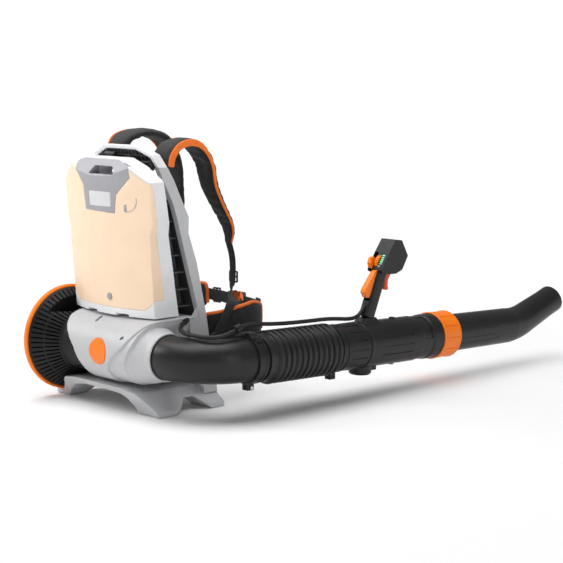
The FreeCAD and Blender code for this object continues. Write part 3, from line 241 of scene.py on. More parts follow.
def rubber(name, colour, roughness):
    """Dull rubber with a faint bloom and a fine pebble."""
    mat, tree, shader = blank_material(name)
    place = node(tree, "TexCoord").outputs["Object"]
    bloom = node(tree, "TexNoise", {"Vector": place, "Scale": 40.0, "Detail": 6.0, "Roughness": 0.65})
    pebble = node(tree, "TexVoronoi", {"Vector": place, "Scale": 1400.0}, feature="SMOOTH_F1")
    tone = mix(tree, remap(tree, bloom.outputs["Fac"], 0.35, 0.7, 0.0, 1.0), colour, lighter(colour, 0.045))
    tree.links.new(tone, shader.inputs["Base Color"])
    tree.links.new(remap(tree, bloom.outputs["Fac"], 0.3, 0.7, roughness - 0.06, roughness + 0.1),
                   shader.inputs["Roughness"])
    bump = node(tree, "Bump", {"Height": pebble.outputs["Distance"], "Strength": 0.25, "Distance": 0.03 * MM})
    tree.links.new(bump.outputs[0], shader.inputs["Normal"])
    shader.inputs["Specular IOR Level"].default_value = 0.35
    return mat


def woven(name, colour, thread, along=1.0, roughness=0.85, contrast=0.35):
    """Plain weave: warp and weft threads that pass over each other. thread is its pitch in mm."""
    mat, tree, shader = blank_material(name)
    source = node(tree, "TexCoord")
    parts = node(tree, "SeparateXYZ", {0: source.outputs["UV"]})
    across = maths(tree, "MULTIPLY", parts.outputs[0], math.pi / (thread * MM))
    length = maths(tree, "MULTIPLY", parts.outputs[1], math.pi / (thread * along * MM))
    warp = maths(tree, "ABSOLUTE", maths(tree, "SINE", across))
    weft = maths(tree, "ABSOLUTE", maths(tree, "SINE", length))
    over = maths(tree, "MULTIPLY", maths(tree, "SINE", across), maths(tree, "SINE", length))
    side = maths(tree, "GREATER_THAN", over, 0.0)
    height = node(tree, "Mix", {0: side, 2: warp, 3: weft}).outputs[0]
    fuzz = node(tree, "TexNoise", {"Vector": source.outputs["Object"], "Scale": 900.0, "Detail": 4.0})
    cloud = node(tree, "TexNoise", {"Vector": source.outputs["Object"], "Scale": 30.0, "Detail": 5.0})
    # Painted shade: the colour darkens where the threads dip, following the same height as the bump.
    tone = mix(tree, remap(tree, height, 0.2, 1.0, 0.0, 1.0), darker(colour, contrast), lighter(colour, 0.03))
    tone = mix(tree, remap(tree, cloud.outputs["Fac"], 0.35, 0.7, 0.0, 0.5), tone, lighter(colour, 0.05))
    tree.links.new(tone, shader.inputs["Base Color"])
    tree.links.new(remap(tree, fuzz.outputs["Fac"], 0.3, 0.7, roughness - 0.07, roughness + 0.07),
                   shader.inputs["Roughness"])
    rise = maths(tree, "ADD", height, maths(tree, "MULTIPLY", fuzz.outputs["Fac"], 0.4))
    bump = node(tree, "Bump", {"Height": rise, "Strength": 0.7, "Distance": 0.12 * MM})
    tree.links.new(bump.outputs[0], shader.inputs["Normal"])
    shader.inputs["Sheen Weight"].default_value = 0.08
    shader.inputs["Sheen Roughness"].default_value = 0.5
    return mat


def air_mesh(name, colour):
    """Spacer mesh: a net of small round holes, with painted shade in the holes."""
    mat, tree, shader = blank_material(name)
    place = node(tree, "TexCoord").outputs["Object"]
    cells = node(tree, "TexVoronoi", {"Vector": place, "Scale": 380.0, "Randomness": 0.35})
    net = remap(tree, cells.outputs["Distance"], 0.25, 0.5, 0.0, 1.0)
    cloud = node(tree, "TexNoise", {"Vector": place, "Scale": 35.0, "Detail": 5.0})
    # Painted shade: the colour darkens inside the holes, where the bump is low.
    tone = mix(tree, net, darker(colour, 0.75), lighter(colour, 0.05))
    tone = mix(tree, remap(tree, cloud.outputs["Fac"], 0.35, 0.7, 0.0, 0.4), tone, lighter(colour, 0.06))
    tree.links.new(tone, shader.inputs["Base Color"])
    tree.links.new(remap(tree, cloud.outputs["Fac"], 0.3, 0.7, 0.78, 0.92), shader.inputs["Roughness"])
    bump = node(tree, "Bump", {"Height": net, "Strength": 0.8, "Distance": 0.4 * MM})
    tree.links.new(bump.outputs[0], shader.inputs["Normal"])
    shader.inputs["Sheen Weight"].default_value = 0.1
    return mat


def metal(name, colour, roughness):
    """Bare metal with fine drawn lines and faint stains."""
    mat, tree, shader = blank_material(name)
    place = node(tree, "TexCoord").outputs["Object"]
    stretched = node(tree, "Mapping", {"Vector": place, "Scale": (1.0, 0.06, 1.0)})
    lines = node(tree, "TexNoise", {"Vector": stretched.outputs[0], "Scale": 600.0, "Detail": 4.0})
    stain = node(tree, "TexNoise", {"Vector": place, "Scale": 60.0, "Detail": 5.0})
    tone = mix(tree, remap(tree, stain.outputs["Fac"], 0.3, 0.7, 0.0, 1.0), darker(colour, 0.15), colour)
    tree.links.new(tone, shader.inputs["Base Color"])
    tree.links.new(remap(tree, lines.outputs["Fac"], 0.3, 0.7, roughness - 0.08, roughness + 0.1),
                   shader.inputs["Roughness"])
    bump = node(tree, "Bump", {"Height": lines.outputs["Fac"], "Strength": 0.3, "Distance": 0.03 * MM})
    tree.links.new(bump.outputs[0], shader.inputs["Normal"])
    shader.inputs["Metallic"].default_value = 1.0
    return mat


def lit_window(name):
    """A green display behind a glossy lens: dim ground with brighter even segments up its length."""
    mat, tree, shader = blank_material(name)
    place = node(tree, "TexCoord").outputs["Object"]
    parts = node(tree, "SeparateXYZ", {0: place})
    run = maths(tree, "ADD", maths(tree, "MULTIPLY", parts.outputs[1], 0.52),
                maths(tree, "MULTIPLY", parts.outputs[2], 0.854))
    wave = maths(tree, "SINE", maths(tree, "MULTIPLY", run, 2 * math.pi / (5.2 * MM)))
    bars = remap(tree, wave, -0.1, 0.35, 0.0, 1.0)
    tone = mix(tree, bars, (0.01, 0.10, 0.05), (0.25, 0.85, 0.52))
    tree.links.new(tone, shader.inputs["Base Color"])
    tree.links.new(tone, shader.inputs["Emission Color"])
    shader.inputs["Emission Strength"].default_value = 0.35
    shader.inputs["Roughness"].default_value = 0.2
    shader.inputs["Coat Weight"].default_value = 0.6
    return mat


LIGHT_GREY = (0.52, 0.525, 0.535)
WHITE = (0.82, 0.83, 0.845)
PEACH = (0.98, 0.74, 0.53)
PANEL_GREY = (0.36, 0.36, 0.385)
ORANGE = (0.95, 0.205, 0.004)
RED_ORANGE = (0.74, 0.07, 0.015)
BLACK = (0.012, 0.012, 0.0125)
CHARCOAL = (0.014, 0.014, 0.0145)

MATERIALS = {
    "light_grey_shell": plastic("light_grey_shell", LIGHT_GREY, 0.42, depth=0.03),
    "white_shell": plastic("white_shell", WHITE, 0.36, depth=0.02),
    "peach_shell": plastic("peach_shell", PEACH, 0.42, depth=0.03, spread=0.03),
    "grey_panel": plastic("grey_panel", PANEL_GREY, 0.45),
    "label_plate": plastic("label_plate", (0.70, 0.70, 0.71), 0.35, wear=0.1),
    "black_grille": plastic("black_grille", (0.009, 0.009, 0.0095), 0.5, wear=0.3, shine=0.25),
    "orange_shell": plastic("orange_shell", ORANGE, 0.36, coat=0.1, wear=0.06, shine=0.3),
    "red_orange_shell": plastic("red_orange_shell", RED_ORANGE, 0.36, coat=0.1, wear=0.06, shine=0.3),
    "dark_frame": plastic("dark_frame", (0.060, 0.061, 0.064), 0.5, wear=0.5),
    "black_tube": plastic("black_tube", CHARCOAL, 0.34, depth=0.04, wear=0.3, spread=0.12, shine=0.3),
    "hose_rubber": rubber("hose_rubber", (0.016, 0.016, 0.0165), 0.34),
    "cable_rubber": rubber("cable_rubber", (0.010, 0.010, 0.010), 0.45),
    "strap_fabric": woven("strap_fabric", (0.0155, 0.0155, 0.0165), 0.9),
    "webbing": woven("webbing", (0.013, 0.013, 0.014), 1.5, along=0.8, contrast=0.5),
    "steel": metal("steel", (0.62, 0.62, 0.63), 0.32),
    "motor_core": metal("motor_core", (0.35, 0.24, 0.16), 0.5),
    "controller_case": metal("controller_case", (0.5, 0.51, 0.52), 0.45),
    "display_window": lit_window("display_window"),
    "key_grey": plastic("key_grey", (0.20, 0.20, 0.21), 0.4),
}
TRIM = {
    "binding": woven("orange_binding", (0.90, 0.175, 0.006), 0.8, roughness=0.7, contrast=0.2),
    "air_mesh": air_mesh("air_mesh", (0.02, 0.02, 0.022)),
    "thread": woven("thread", (0.035, 0.035, 0.037), 0.3, roughness=0.75),
    "black_plastic": plastic("black_plastic", BLACK, 0.38, wear=0.08),
}


# ---------------------------------------------------------------- CAD nodes: finish by modifiers

def smooth_faces(obj):
    for attribute in ("custom_normal", "sharp_edge", "sharp_face"):
        if attribute in obj.data.attributes:
            obj.data.attributes.remove(obj.data.attributes[attribute])
    obj.data.polygons.foreach_set("use_smooth", [True] * len(obj.data.polygons))


def machined(name, width=0.6, segments=3, angle=28):
    """Rounded, evenly lit edges on a part that stays crisp. width is in mm."""
    obj = frame["nodes"][name]
    smooth_faces(obj)
    obj.modifiers.new("weld", "WELD").merge_threshold = 0.004 * MM
    flat = obj.modifiers.new("flats", "DECIMATE")
    flat.decimate_type = "DISSOLVE"
    flat.angle_limit = math.radians(0.4)
    bevel = obj.modifiers.new("edges", "BEVEL")
    bevel.width = width * MM
    bevel.segments = segments
    bevel.limit_method = "ANGLE"
    bevel.angle_limit = math.radians(angle)
    bevel.harden_normals = True
    bevel.use_clamp_overlap = True
    obj.modifiers.new("normals", "WEIGHTED_NORMAL").keep_sharp = True


def moulded(name, voxel, rounds):
    """Soft moulded edges and blends on a shell. voxel is in mm."""
    obj = frame["nodes"][name]
    smooth_faces(obj)
    obj.modifiers.new("weld", "WELD").merge_threshold = 0.004 * MM
    even = obj.modifiers.new("even", "REMESH")
    even.mode = "VOXEL"
    even.voxel_size = voxel * MM
    even.use_smooth_shade = True
    soften = obj.modifiers.new("soften", "SMOOTH")
    soften.factor = 0.5
    soften.iterations = rounds
    obj.modifiers.new("thin", "DECIMATE").ratio = 0.5


def finish_cad():
    slots = {part["node"]: part["material_slot"] for part in frame["record"]["subparts"]}
    for name, obj in frame["nodes"].items():
        obj.data.materials.clear()
        obj.data.materials.append(MATERIALS[slots[name]])
    for name in ("housing_rear", "housing_front"):
        moulded(name, 1.2, 4)
    moulded("base_frame", 1.5, 8)
    for name in ("battery_rear_shell", "battery_front_shell", "battery_handle_panel"):
        moulded(name, 1.2, 3)
    for name in ("side_panel_right", "side_panel_left", "top_rim", "latch_bracket"):
        machined(name, 1.6)
    for name in ("handle_grip", "control_head"):
        machined(name, 1.2)
    for name in ("intake_rim", "intake_cap", "intake_band", "rear_badge", "cable_gland", "elbow_tube", "clamp_rear",
                 "clamp_front", "cable_guide", "control_sleeve", "union_nut", "nozzle_tube", "bellows_ring",
                 "trigger", "lockout_lever", "throttle_lever", "thumb_wheel", "mode_button", "display_strip",
                 "battery_label", "battery_button", "battery_latch", "contact_plug", "controller_box", "impeller",
                 "motor_shaft", "clamp_screw", "housing_screws"):
        machined(name, 0.5)
    for name in ("intake_grille", "back_plate", "rib_rails", "stator_vanes", "motor_stator", "duct_liner",
                 "shaft_bearings"):
        machined(name, 0.25, 2)


# ---------------------------------------------------------------- mesh helpers

def piece(name, verts, faces, material, body, place=LEVEL, smooth=True, uv=None):
    """A mesh from millimetre points in the machine's frame, riding on a body (or on none yet)."""
    mesh = bpy.data.meshes.new(name)
    mesh.from_pydata([tuple(v) for v in verts], [], faces)
    mesh.transform(place)
    mesh.validate()
    if uv:
        layer = mesh.uv_layers.new(name="UVMap")
        for loop in mesh.loops:
            layer.data[loop.index].uv = [c * MM for c in uv[loop.vertex_index]]
    repair = bmesh.new()
    repair.from_mesh(mesh)
    bmesh.ops.recalc_face_normals(repair, faces=repair.faces)
    repair.to_mesh(mesh)
    repair.free()
    mesh.polygons.foreach_set("use_smooth", [smooth] * len(mesh.polygons))
    mesh.materials.append(material)
    obj = bpy.data.objects.new(name, mesh)
    bpy.context.scene.collection.objects.link(obj)
    if body:
        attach(obj, body)
    return obj


def lofted(rings, capped=True, closed=False):
    """Faces that join rings of points, in order; capped at both ends or closed on itself."""
    count = len(rings[0])
    verts = [point for ring in rings for point in ring]
    faces = []
    steps = len(rings) if closed else len(rings) - 1
    for i in range(steps):
        near = i * count
        far = (i + 1) % len(rings) * count
        for j in range(count):
            k = (j + 1) % count
            faces.append((near + j, near + k, far + k, far + j))
    if capped and not closed:
        for start, step in ((0, -1), ((len(rings) - 1) * count, 1)):
            ring = [start + j for j in range(count)]
            faces.append(tuple(ring[::step]))
    return verts, faces


def bevelled(obj, width):
    bevel = obj.modifiers.new("edges", "BEVEL")
    bevel.width = width * MM
    bevel.segments = 3
    bevel.limit_method = "ANGLE"
    bevel.angle_limit = math.radians(30)
    bevel.harden_normals = True
    return obj


def subdivided(obj):
    step = obj.modifiers.new("finer", "SUBSURF")
    step.levels = 1
    step.render_levels = 1
    return obj


def smooth_line(points, step):
    """Points about step mm apart on a smooth curve through the given ones."""
    points = [Vector(p) for p in points]
    ends = [points[0] * 2 - points[1]] + points + [points[-1] * 2 - points[-2]]
    fine = []
    for a, b, c, d in zip(ends, ends[1:], ends[2:], ends[3:]):
        for i in range(24):
            t = i / 24
            fine.append(0.5 * ((2 * b) + (c - a) * t + (2 * a - 5 * b + 4 * c - d) * t ** 2
                               + (3 * b - a - 3 * c + d) * t ** 3))
    fine.append(points[-1])
    lengths = [0.0]
    for a, b in zip(fine, fine[1:]):
        lengths.append(lengths[-1] + (b - a).length)
    count = max(2, round(lengths[-1] / step))
    out = []
    j = 0
    for i in range(count + 1):
        want = lengths[-1] * i / count
        while j < len(lengths) - 2 and lengths[j + 1] < want:
            j += 1
        share = (want - lengths[j]) / max(lengths[j + 1] - lengths[j], 1e-9)
        out.append(fine[j].lerp(fine[j + 1], share))
    return out


def tangents(line):
    last = len(line) - 1
    return [(line[min(i + 1, last)] - line[max(i - 1, 0)]).normalized() for i in range(len(line))]


def tube(line, radius, side, count=16, flat=1.0):
    """Rings round a line. radius may be a list; side is a direction that is never along the line."""
    rings = []
    for i, (point, way) in enumerate(zip(line, tangents(line))):
        across = side.cross(way).normalized()
        up = way.cross(across)
        size = radius[i] if isinstance(radius, list) else radius
        rings.append([point + (across * math.cos(a) + up * math.sin(a) * flat) * size
                      for a in (2 * math.pi * j / count for j in range(count))])
    return rings


def between(table, where):
    """Straight interpolation in a list of (place, value) pairs."""
    if where <= table[0][0]:
        return table[0][1]
    for (a, low), (b, high) in zip(table, table[1:]):
        if where <= b:
            return low + (high - low) * (where - a) / (b - a)
    return table[-1][1]


# ---------------------------------------------------------------- control cable

CABLE_DIAMETER = 8.5
CABLE_TO_CLIP = [(151, 66, 188), (160, 47, 181), (183, 29, 177), (212, 17, 177), (240, 9.5, 178.5),
                 (267, 16, 176.5), (287, 35.5, 176.5), (295.5, 62, 182.5), (290, 88, 190)]
CABLE_TO_RING = [(290, 88, 190), (286, 107.5, 195.6), (287.5, 150, 195), (290.7, 202, 191), (290, 251, 190.2)]
CABLE_TO_GRIP = [(290, 251, 190.2), (289.3, 290.2, 189.6), (291, 334, 190.5), (290, 376, 187.5),
                 (290, 408, 184), (290, 432, 186), (290, 448, 198), (290, 462, 215)]


def route_line(points):
    """Points on the smooth NURBS route through the given ones, in the row frame."""
    curve = bpy.data.curves.new("route", "CURVE")
    curve.dimensions = "3D"
    curve.resolution_u = 12
    spline = curve.splines.new("NURBS")
    spline.points.add(len(points) - 1)
    for slot, point in zip(spline.points, points):
        slot.co = (*(HOSE @ Vector(point)), 1)
    spline.order_u = 3
    spline.use_endpoint_u = True
    holder = bpy.data.objects.new("route", curve)
    mesh = bpy.data.meshes.new_from_object(holder)
    line = [v.co.copy() for v in mesh.vertices]
    bpy.data.objects.remove(holder)
    return line


def cable(name, points):
    line = route_line(points)
    radius = CABLE_DIAMETER / 2 * MM
    verts, faces = lofted(tube(line, radius, RIGHT if abs(tangents(line)[0].x) < 0.5 else UP, 20))
    obj = piece(name, verts, faces, MATERIALS["cable_rubber"], None, Matrix.Identity(4))
    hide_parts(name.replace("_skin", ""))
    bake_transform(obj)
    return obj


def cables():
    cable("cable_loop_skin", CABLE_TO_CLIP)
    cable("cable_hose_rear_skin", CABLE_TO_RING)
    cable("cable_hose_front_skin", CABLE_TO_GRIP)


# ---------------------------------------------------------------- ribbed hose

RIDGE_RADIUS = 55.5
VALLEY_RADIUS = 49.5
HOSE_WALL = 3.5
RIDGE_PITCH = 15.3
RIDGE_FIRST = 167.0
RIDGES_PER_HALF = 6


def ridge(offset):
    """Height of one ridge, from 0 to 1: steep sides and a rounded crown."""
    side = max(0.0, 1 - (abs(offset) / 4.6) ** 4.5)
    return side ** 0.55


def bellows_half(name, first, start, end):
    profile = []
    steps = round((end - start) / 0.75)
    for i in range(steps + 1):
        y = start + (end - start) * i / steps
        near = min((abs(y - first - RIDGE_PITCH * k) for k in range(RIDGES_PER_HALF)))
        profile.append((y, VALLEY_RADIUS + (RIDGE_RADIUS - VALLEY_RADIUS) * ridge(near)))
    inner = [(y, r - HOSE_WALL) for y, r in profile[::3]] + [(end, VALLEY_RADIUS - HOSE_WALL)]
    around = 112
    rings = []
    for y, r in profile + inner[::-1]:
        rings.append([Vector((TUBE_X + r * math.cos(a), y, DUCT_Z + r * math.sin(a)))
                      for a in (2 * math.pi * j / around for j in range(around))])
    verts, faces = lofted(rings, closed=True)
    obj = piece(name + "_skin", verts, faces, MATERIALS["hose_rubber"], None, HOSE)
    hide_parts(name)
    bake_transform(obj)


def bellows():
    front_first = RIDGE_FIRST + RIDGE_PITCH * RIDGES_PER_HALF
    bellows_half("bellows_rear", RIDGE_FIRST, 140.0, 248.8)
    bellows_half("bellows_front", front_first, 253.2, 345.6)


# ---------------------------------------------------------------- padded pieces

WRINKLE = 0.9               # height of the soft wrinkles in a padded face, in mm
CLOTH_STEPS = 20
STITCH_PITCH = 4.2
STITCH_LENGTH = 2.6
STITCH_WIDTH = 0.5


def pillow(name, stations, body, covers, material, around=32, seams=(), pull=3.5):
    """A padded form from stations (centre, across, normal, half_width, half_thickness), in order.

    It is drawn flat-edged, then inflated as cloth with its edges, its ends and its cross seams held.
    """
    rings = []
    marks = []
    uv = []
    run = 0.0
    seed = len(name) * 3.7
    for i, (centre, across, normal, wide, thick) in enumerate(stations):
        if i:
            run += (centre - stations[i - 1][0]).length
        ring = []
        at_an_end = i in (0, 1, len(stations) - 2, len(stations) - 1)
        held_here = at_an_end or any(abs(run - seam) < 2.6 for seam in seams)
        for j in range(around):
            a = 2 * math.pi * j / around
            u = math.copysign(abs(math.cos(a)) ** 0.45, math.cos(a))
            v = math.copysign(abs(math.sin(a)) ** 0.75, math.sin(a))
            fold = WRINKLE * noise.noise(Vector((u * wide / 26, v, run / 13 + seed))) * (1 - abs(u) ** 4)
            ring.append(centre + across * (u * wide) + normal * (v * (thick + fold)))
            marks.append(1.0 if held_here or abs(u) > 0.93 else 0.0)
            uv.append((u * wide, run))
        rings.append(ring)
    verts, faces = lofted(rings)
    obj = piece(name, verts, faces, material, None, LEVEL, uv=uv)
    inflate(obj, marks, pull)
    subdivided(obj)
    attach(obj, body)
    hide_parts(*covers)
    return obj


def inflate(obj, marks, limit):
    """Cloth under pressure, with the marked points held; no point moves more than limit mm."""
    before = [v.co.copy() for v in obj.data.vertices]
    group = obj.vertex_groups.new(name="held")
    for index, weight in enumerate(marks):
        group.add([index], weight, "REPLACE")
    cloth = obj.modifiers.new("cloth", "CLOTH")
    cloth.settings.quality = 6
    cloth.settings.mass = 0.25
    cloth.settings.tension_stiffness = 12
    cloth.settings.compression_stiffness = 12
    cloth.settings.shear_stiffness = 6
    cloth.settings.bending_stiffness = 0.4
    cloth.settings.vertex_group_mass = "held"
    cloth.settings.shrink_min = -0.035
    cloth.settings.use_pressure = True
    cloth.settings.uniform_pressure_force = 4
    cloth.settings.effector_weights.gravity = 0
    cloth.collision_settings.use_collision = False
    cloth.point_cache.frame_start = 1
    cloth.point_cache.frame_end = CLOTH_STEPS
    scene = bpy.context.scene
    for step in range(1, CLOTH_STEPS + 1):
        scene.frame_set(step)
    shaped = obj.evaluated_get(bpy.context.evaluated_depsgraph_get()).to_mesh()
    moved = [v.co.copy() for v in shaped.vertices]
    obj.evaluated_get(bpy.context.evaluated_depsgraph_get()).to_mesh_clear()
    obj.modifiers.remove(cloth)
    scene.frame_set(1)
    for vertex, old, new in zip(obj.data.vertices, before, moved):
        step = new - old
        if step.length > limit * MM:
            step *= limit * MM / step.length
        vertex.co = old + step
    obj.vertex_groups.clear()


def strap_stations(line, x_middle, widths, thicknesses):
    """Stations for a strap whose line is drawn in (y, z), square to X."""
    path = smooth_line([(0, y, z) for y, z in line], 4.0)
    total = sum((b - a).length for a, b in zip(path, path[1:]))
    stations = []
    run = 0.0
    for i, (point, way) in enumerate(zip(path, tangents(path))):
        if i:
            run += (point - path[i - 1]).length
        share = run / total
        centre = Vector((x_middle, point.y, point.z))
        stations.append((centre, RIGHT.copy(), RIGHT.cross(way).normalized(), between(widths, share),
                         between(thicknesses, share)))
    return stations


def edge_binding(name, stations, sign, table, body):
    """Orange binding along a strap's outer edge; table gives (share, half height, shift to the outer face)."""
    rings = []
    uv = []
    total = len(stations) - 1
    around = 20
    for i, (centre, across, normal, wide, thick) in enumerate(stations):
        share = i / total
        high = between([(s, h) for s, h, _ in table], share)
        shift = between([(s, d) for s, _, d in table], share)
        middle_point = centre + across * (sign * (wide - 0.6)) - normal * shift
        ring = []
        for j in range(around):
            a = 2 * math.pi * j / around
            u = math.copysign(abs(math.cos(a)) ** 0.8, math.cos(a)) * 2.3
            v = math.copysign(abs(math.sin(a)) ** 0.7, math.sin(a)) * high
            ring.append(middle_point + across * (sign * u) + normal * v)
            uv.append((a * 4, i * 4.0))
        rings.append(ring)
    verts, faces = lofted(rings)
    return subdivided(piece(name, verts, faces, TRIM["binding"], body, LEVEL, uv=uv))


def stitch_row(name, target, line, body):
    """Small raised stitches on a padded piece's surface, along a line near it."""
    tree = BVHTree.FromObject(target, bpy.context.evaluated_depsgraph_get())
    verts, faces = [], []
    path = smooth_line(line, STITCH_PITCH)
    for point, way in zip(path, tangents(path)):
        found, normal, _, _ = tree.find_nearest(LEVEL @ point)
        side = normal.cross(way).normalized()
        base = len(verts)
        for end in (-0.5, 0.5):
            for u, v in ((-1, -0.2), (-0.6, 0.8), (0.6, 0.8), (1, -0.2)):
                length = end * STITCH_LENGTH * (1.0 if v < 0 else 0.72)
                verts.append(found + (way * length + (side * u + normal * v) * STITCH_WIDTH) * MM)
        faces += [(base, base + 1, base + 2, base + 3), (base + 7, base + 6, base + 5, base + 4)]
        faces += [(base + j, base + 4 + j, base + 4 + (j + 1) % 4, base + (j + 1) % 4) for j in range(4)]
    return piece(name, verts, faces, TRIM["thread"], body, Matrix.Identity(4))


STRAP_RIGHT = [(71, 504), (76, 524), (94, 545), (124, 553), (152, 547), (172, 530), (190, 501), (200, 461),
               (223, 418), (246, 381), (256, 354), (254, 330)]
STRAP_LEFT = [(70, 502), (74, 530), (86, 556), (118, 567), (152, 567), (184, 558), (208, 536), (226, 500),
              (232, 460), (236, 415), (240, 370), (243, 330)]


def shoulder_straps():
    widths = [(0, 32), (0.4, 32), (0.55, 28), (0.7, 24), (0.86, 21), (0.94, 16), (1, 10.5)]
    thicknesses = [(0, 5.0), (0.03, 7.0), (0.44, 7.0), (0.455, 3.6), (0.47, 7.0), (0.80, 6.4), (0.815, 3.2),
                   (0.83, 6.0), (0.94, 4.6), (1, 2.0)]
    for side, line, sign in (("right", STRAP_RIGHT, 1), ("left", STRAP_LEFT, -1)):
        stations = strap_stations(line, 76 * sign, widths, thicknesses)
        name = "shoulder_strap_" + side
        total = sum((b[0] - a[0]).length for a, b in zip(stations, stations[1:]))
        pad = pillow(name + "_pad", stations, "backpack", [name], MATERIALS["strap_fabric"],
                     seams=(total * 0.455, total * 0.815))
        edge_binding(name + "_binding", stations, sign,
                     [(0, 8.0, 0), (0.26, 7.5, 0), (0.38, 4.4, 2.0), (0.6, 3.2, 3.8), (0.9, 2.4, 2.4), (1, 1.6, 0)],
                     "backpack")
        for inset, tag in ((0.8, "outer"), (-0.8, "inner")):
            for face, lift in (("top", 1), ("under", -1)):
                row = [c + a * (w * inset * sign) + n * (lift * 12) for c, a, n, w, t in stations[6:-6:3]]
                stitch_row(f"{name}_stitches_{tag}_{face}", pad, row, "backpack")


def ribbon(name, line, facing, widths, thickness, body, material, covers=()):
    """Flat webbing along a line; facing lists (share, the way its face looks)."""
    path = smooth_line(line, 4.0)
    rings, uv = [], []
    run = 0.0
    total = max(len(path) - 1, 1)
    for i, (point, way) in enumerate(zip(path, tangents(path))):
        if i:
            run += (point - path[i - 1]).length
        normal = between([(share, Vector(way_out)) for share, way_out in facing], i / total)
        across = way.cross(normal).normalized()
        normal = across.cross(way).normalized()
        half = between(widths, i / total) / 2
        ring = []
        for u, v in ((-1, -0.3), (-0.97, -0.5), (-0.5, -0.5), (0, -0.5), (0.5, -0.5), (0.97, -0.5), (1, -0.3),
                     (1, 0.3), (0.97, 0.5), (0.5, 0.5), (0, 0.5), (-0.5, 0.5), (-0.97, 0.5), (-1, 0.3)):
            ring.append(point + across * (u * half) + normal * (v * thickness))
            uv.append((u * half, run))
        rings.append(ring)
    verts, faces = lofted(rings)
    obj = piece(name, verts, faces, material, body, LEVEL, uv=uv)
    if covers:
        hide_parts(*covers)
    return obj


def buckle(name, centre, across, way, wide, tall, thick, bars):
    """A moulded ladder buckle: a rounded frame with cross bars."""
    normal = across.cross(way).normalized()
    verts, faces = [], []

    def bar(a, b, half):
        line = [a.lerp(b, t) for t in (0, 0.25, 0.5, 0.75, 1)]
        more, joins = lofted(tube(line, half, normal, 12, thick / 2 / half))
        base = len(verts)
        verts.extend(more)
        faces.extend(tuple(base + k for k in face) for face in joins)

    left = centre - across * wide / 2
    right = centre + across * wide / 2
    for side in (left, right):
        bar(side - way * tall / 2, side + way * tall / 2, 2.2)
    for i in range(bars):
        level = way * (tall * (i / (bars - 1) - 0.5))
        bar(left + level, right + level, 1.9)
    return piece(name, verts, faces, TRIM["black_plastic"], "backpack")


WEBBING_RIGHT = [(76, 254, 334), (76, 264, 300), (76, 266, 262), (82, 258, 230), (112, 234, 219),
                 (141, 204, 213), (150, 182, 188), (150, 152, 143)]
WEBBING_LEFT = [(-76, 243, 334), (-76, 247, 290), (-78, 246, 252), (-86, 238, 227), (-112, 222, 220),
                (-142, 204, 214), (-151, 182, 190), (-151, 152, 143)]


def webbing():
    widths = [(0, 20), (0.15, 19), (0.4, 17), (0.6, 19), (1, 20)]
    for side, sign, line, covers in (("right", 1, WEBBING_RIGHT, ["strap_webbing"]),
                                     ("left", -1, WEBBING_LEFT, [])):
        facing = [(0, (0, 1, 0)), (0.35, (0, 1, 0.2)), (0.5, (0.3 * sign, 0.7, 0.7)),
                  (0.66, (0.4 * sign, 0.2, 1)), (0.8, (sign, 0, 0.4)), (1, (sign, 0, 0))]
        ribbon("strap_webbing_" + side, line, facing, widths, 2.2, "backpack", MATERIALS["webbing"],
               covers)
        top = Vector(line[2]) + Vector((0, 2, -6))
        down = (Vector(line[1]) - Vector(line[3])).normalized()
        buckle("strap_buckle_" + side, top, RIGHT, down, 24, 22, 4.4, 3)
        foot = Vector(line[-1])
        buckle("foot_buckle_" + side, foot, Vector((0, 0.8, -0.6)), Vector((0, 0.6, 0.8)), 24, 12, 4.4, 2)
    flat = [(0, (0, 1, 0)), (1, (0, 1, 0))]
    width = [(0, 26), (1, 26)]
    ribbon("belt_webbing_left", [(-74, 324.5, 196), (-40, 330, 194), (-6, 330, 192)], flat, width, 2.4,
           "backpack", MATERIALS["webbing"], ["belt_webbing"])
    ribbon("belt_webbing_right", [(38, 330, 190), (84, 323, 188), (122, 307, 186)], flat, width, 2.4,
           "backpack", MATERIALS["webbing"])
    for name, place in (("left", (-52, 330, 195)), ("right", (98, 320.5, 188))):
        turn = Vector((1, -0.4, 0)).normalized() if name == "right" else Vector((1, 0.1, 0)).normalized()
        buckle("belt_adjuster_" + name, Vector(place), UP, turn, 31, 20, 5.0, 3)


def hip_stations(plan, tops, bottoms):
    path = smooth_line([(x, y, 0) for x, y in plan], 4.0)
    total = len(path) - 1
    stations = []
    for i, (point, way) in enumerate(zip(path, tangents(path))):
        top = between(tops, point.y)
        low = between(bottoms, point.y)
        ends = min(i * 4.0, (total - i) * 4.0 + 2)
        half = (top - low) / 2
        round_end = 22.0
        if ends < round_end:
            half *= 0.62 + 0.38 * math.sqrt(max(0.0, 1 - (1 - ends / round_end) ** 2))
        thick = 5.0 if ends > 6 else 3.0 + ends / 3
        centre = Vector((point.x, point.y, (top + low) / 2))
        stations.append((centre, UP.copy(), way.cross(UP).normalized(), half, thick))
    return stations


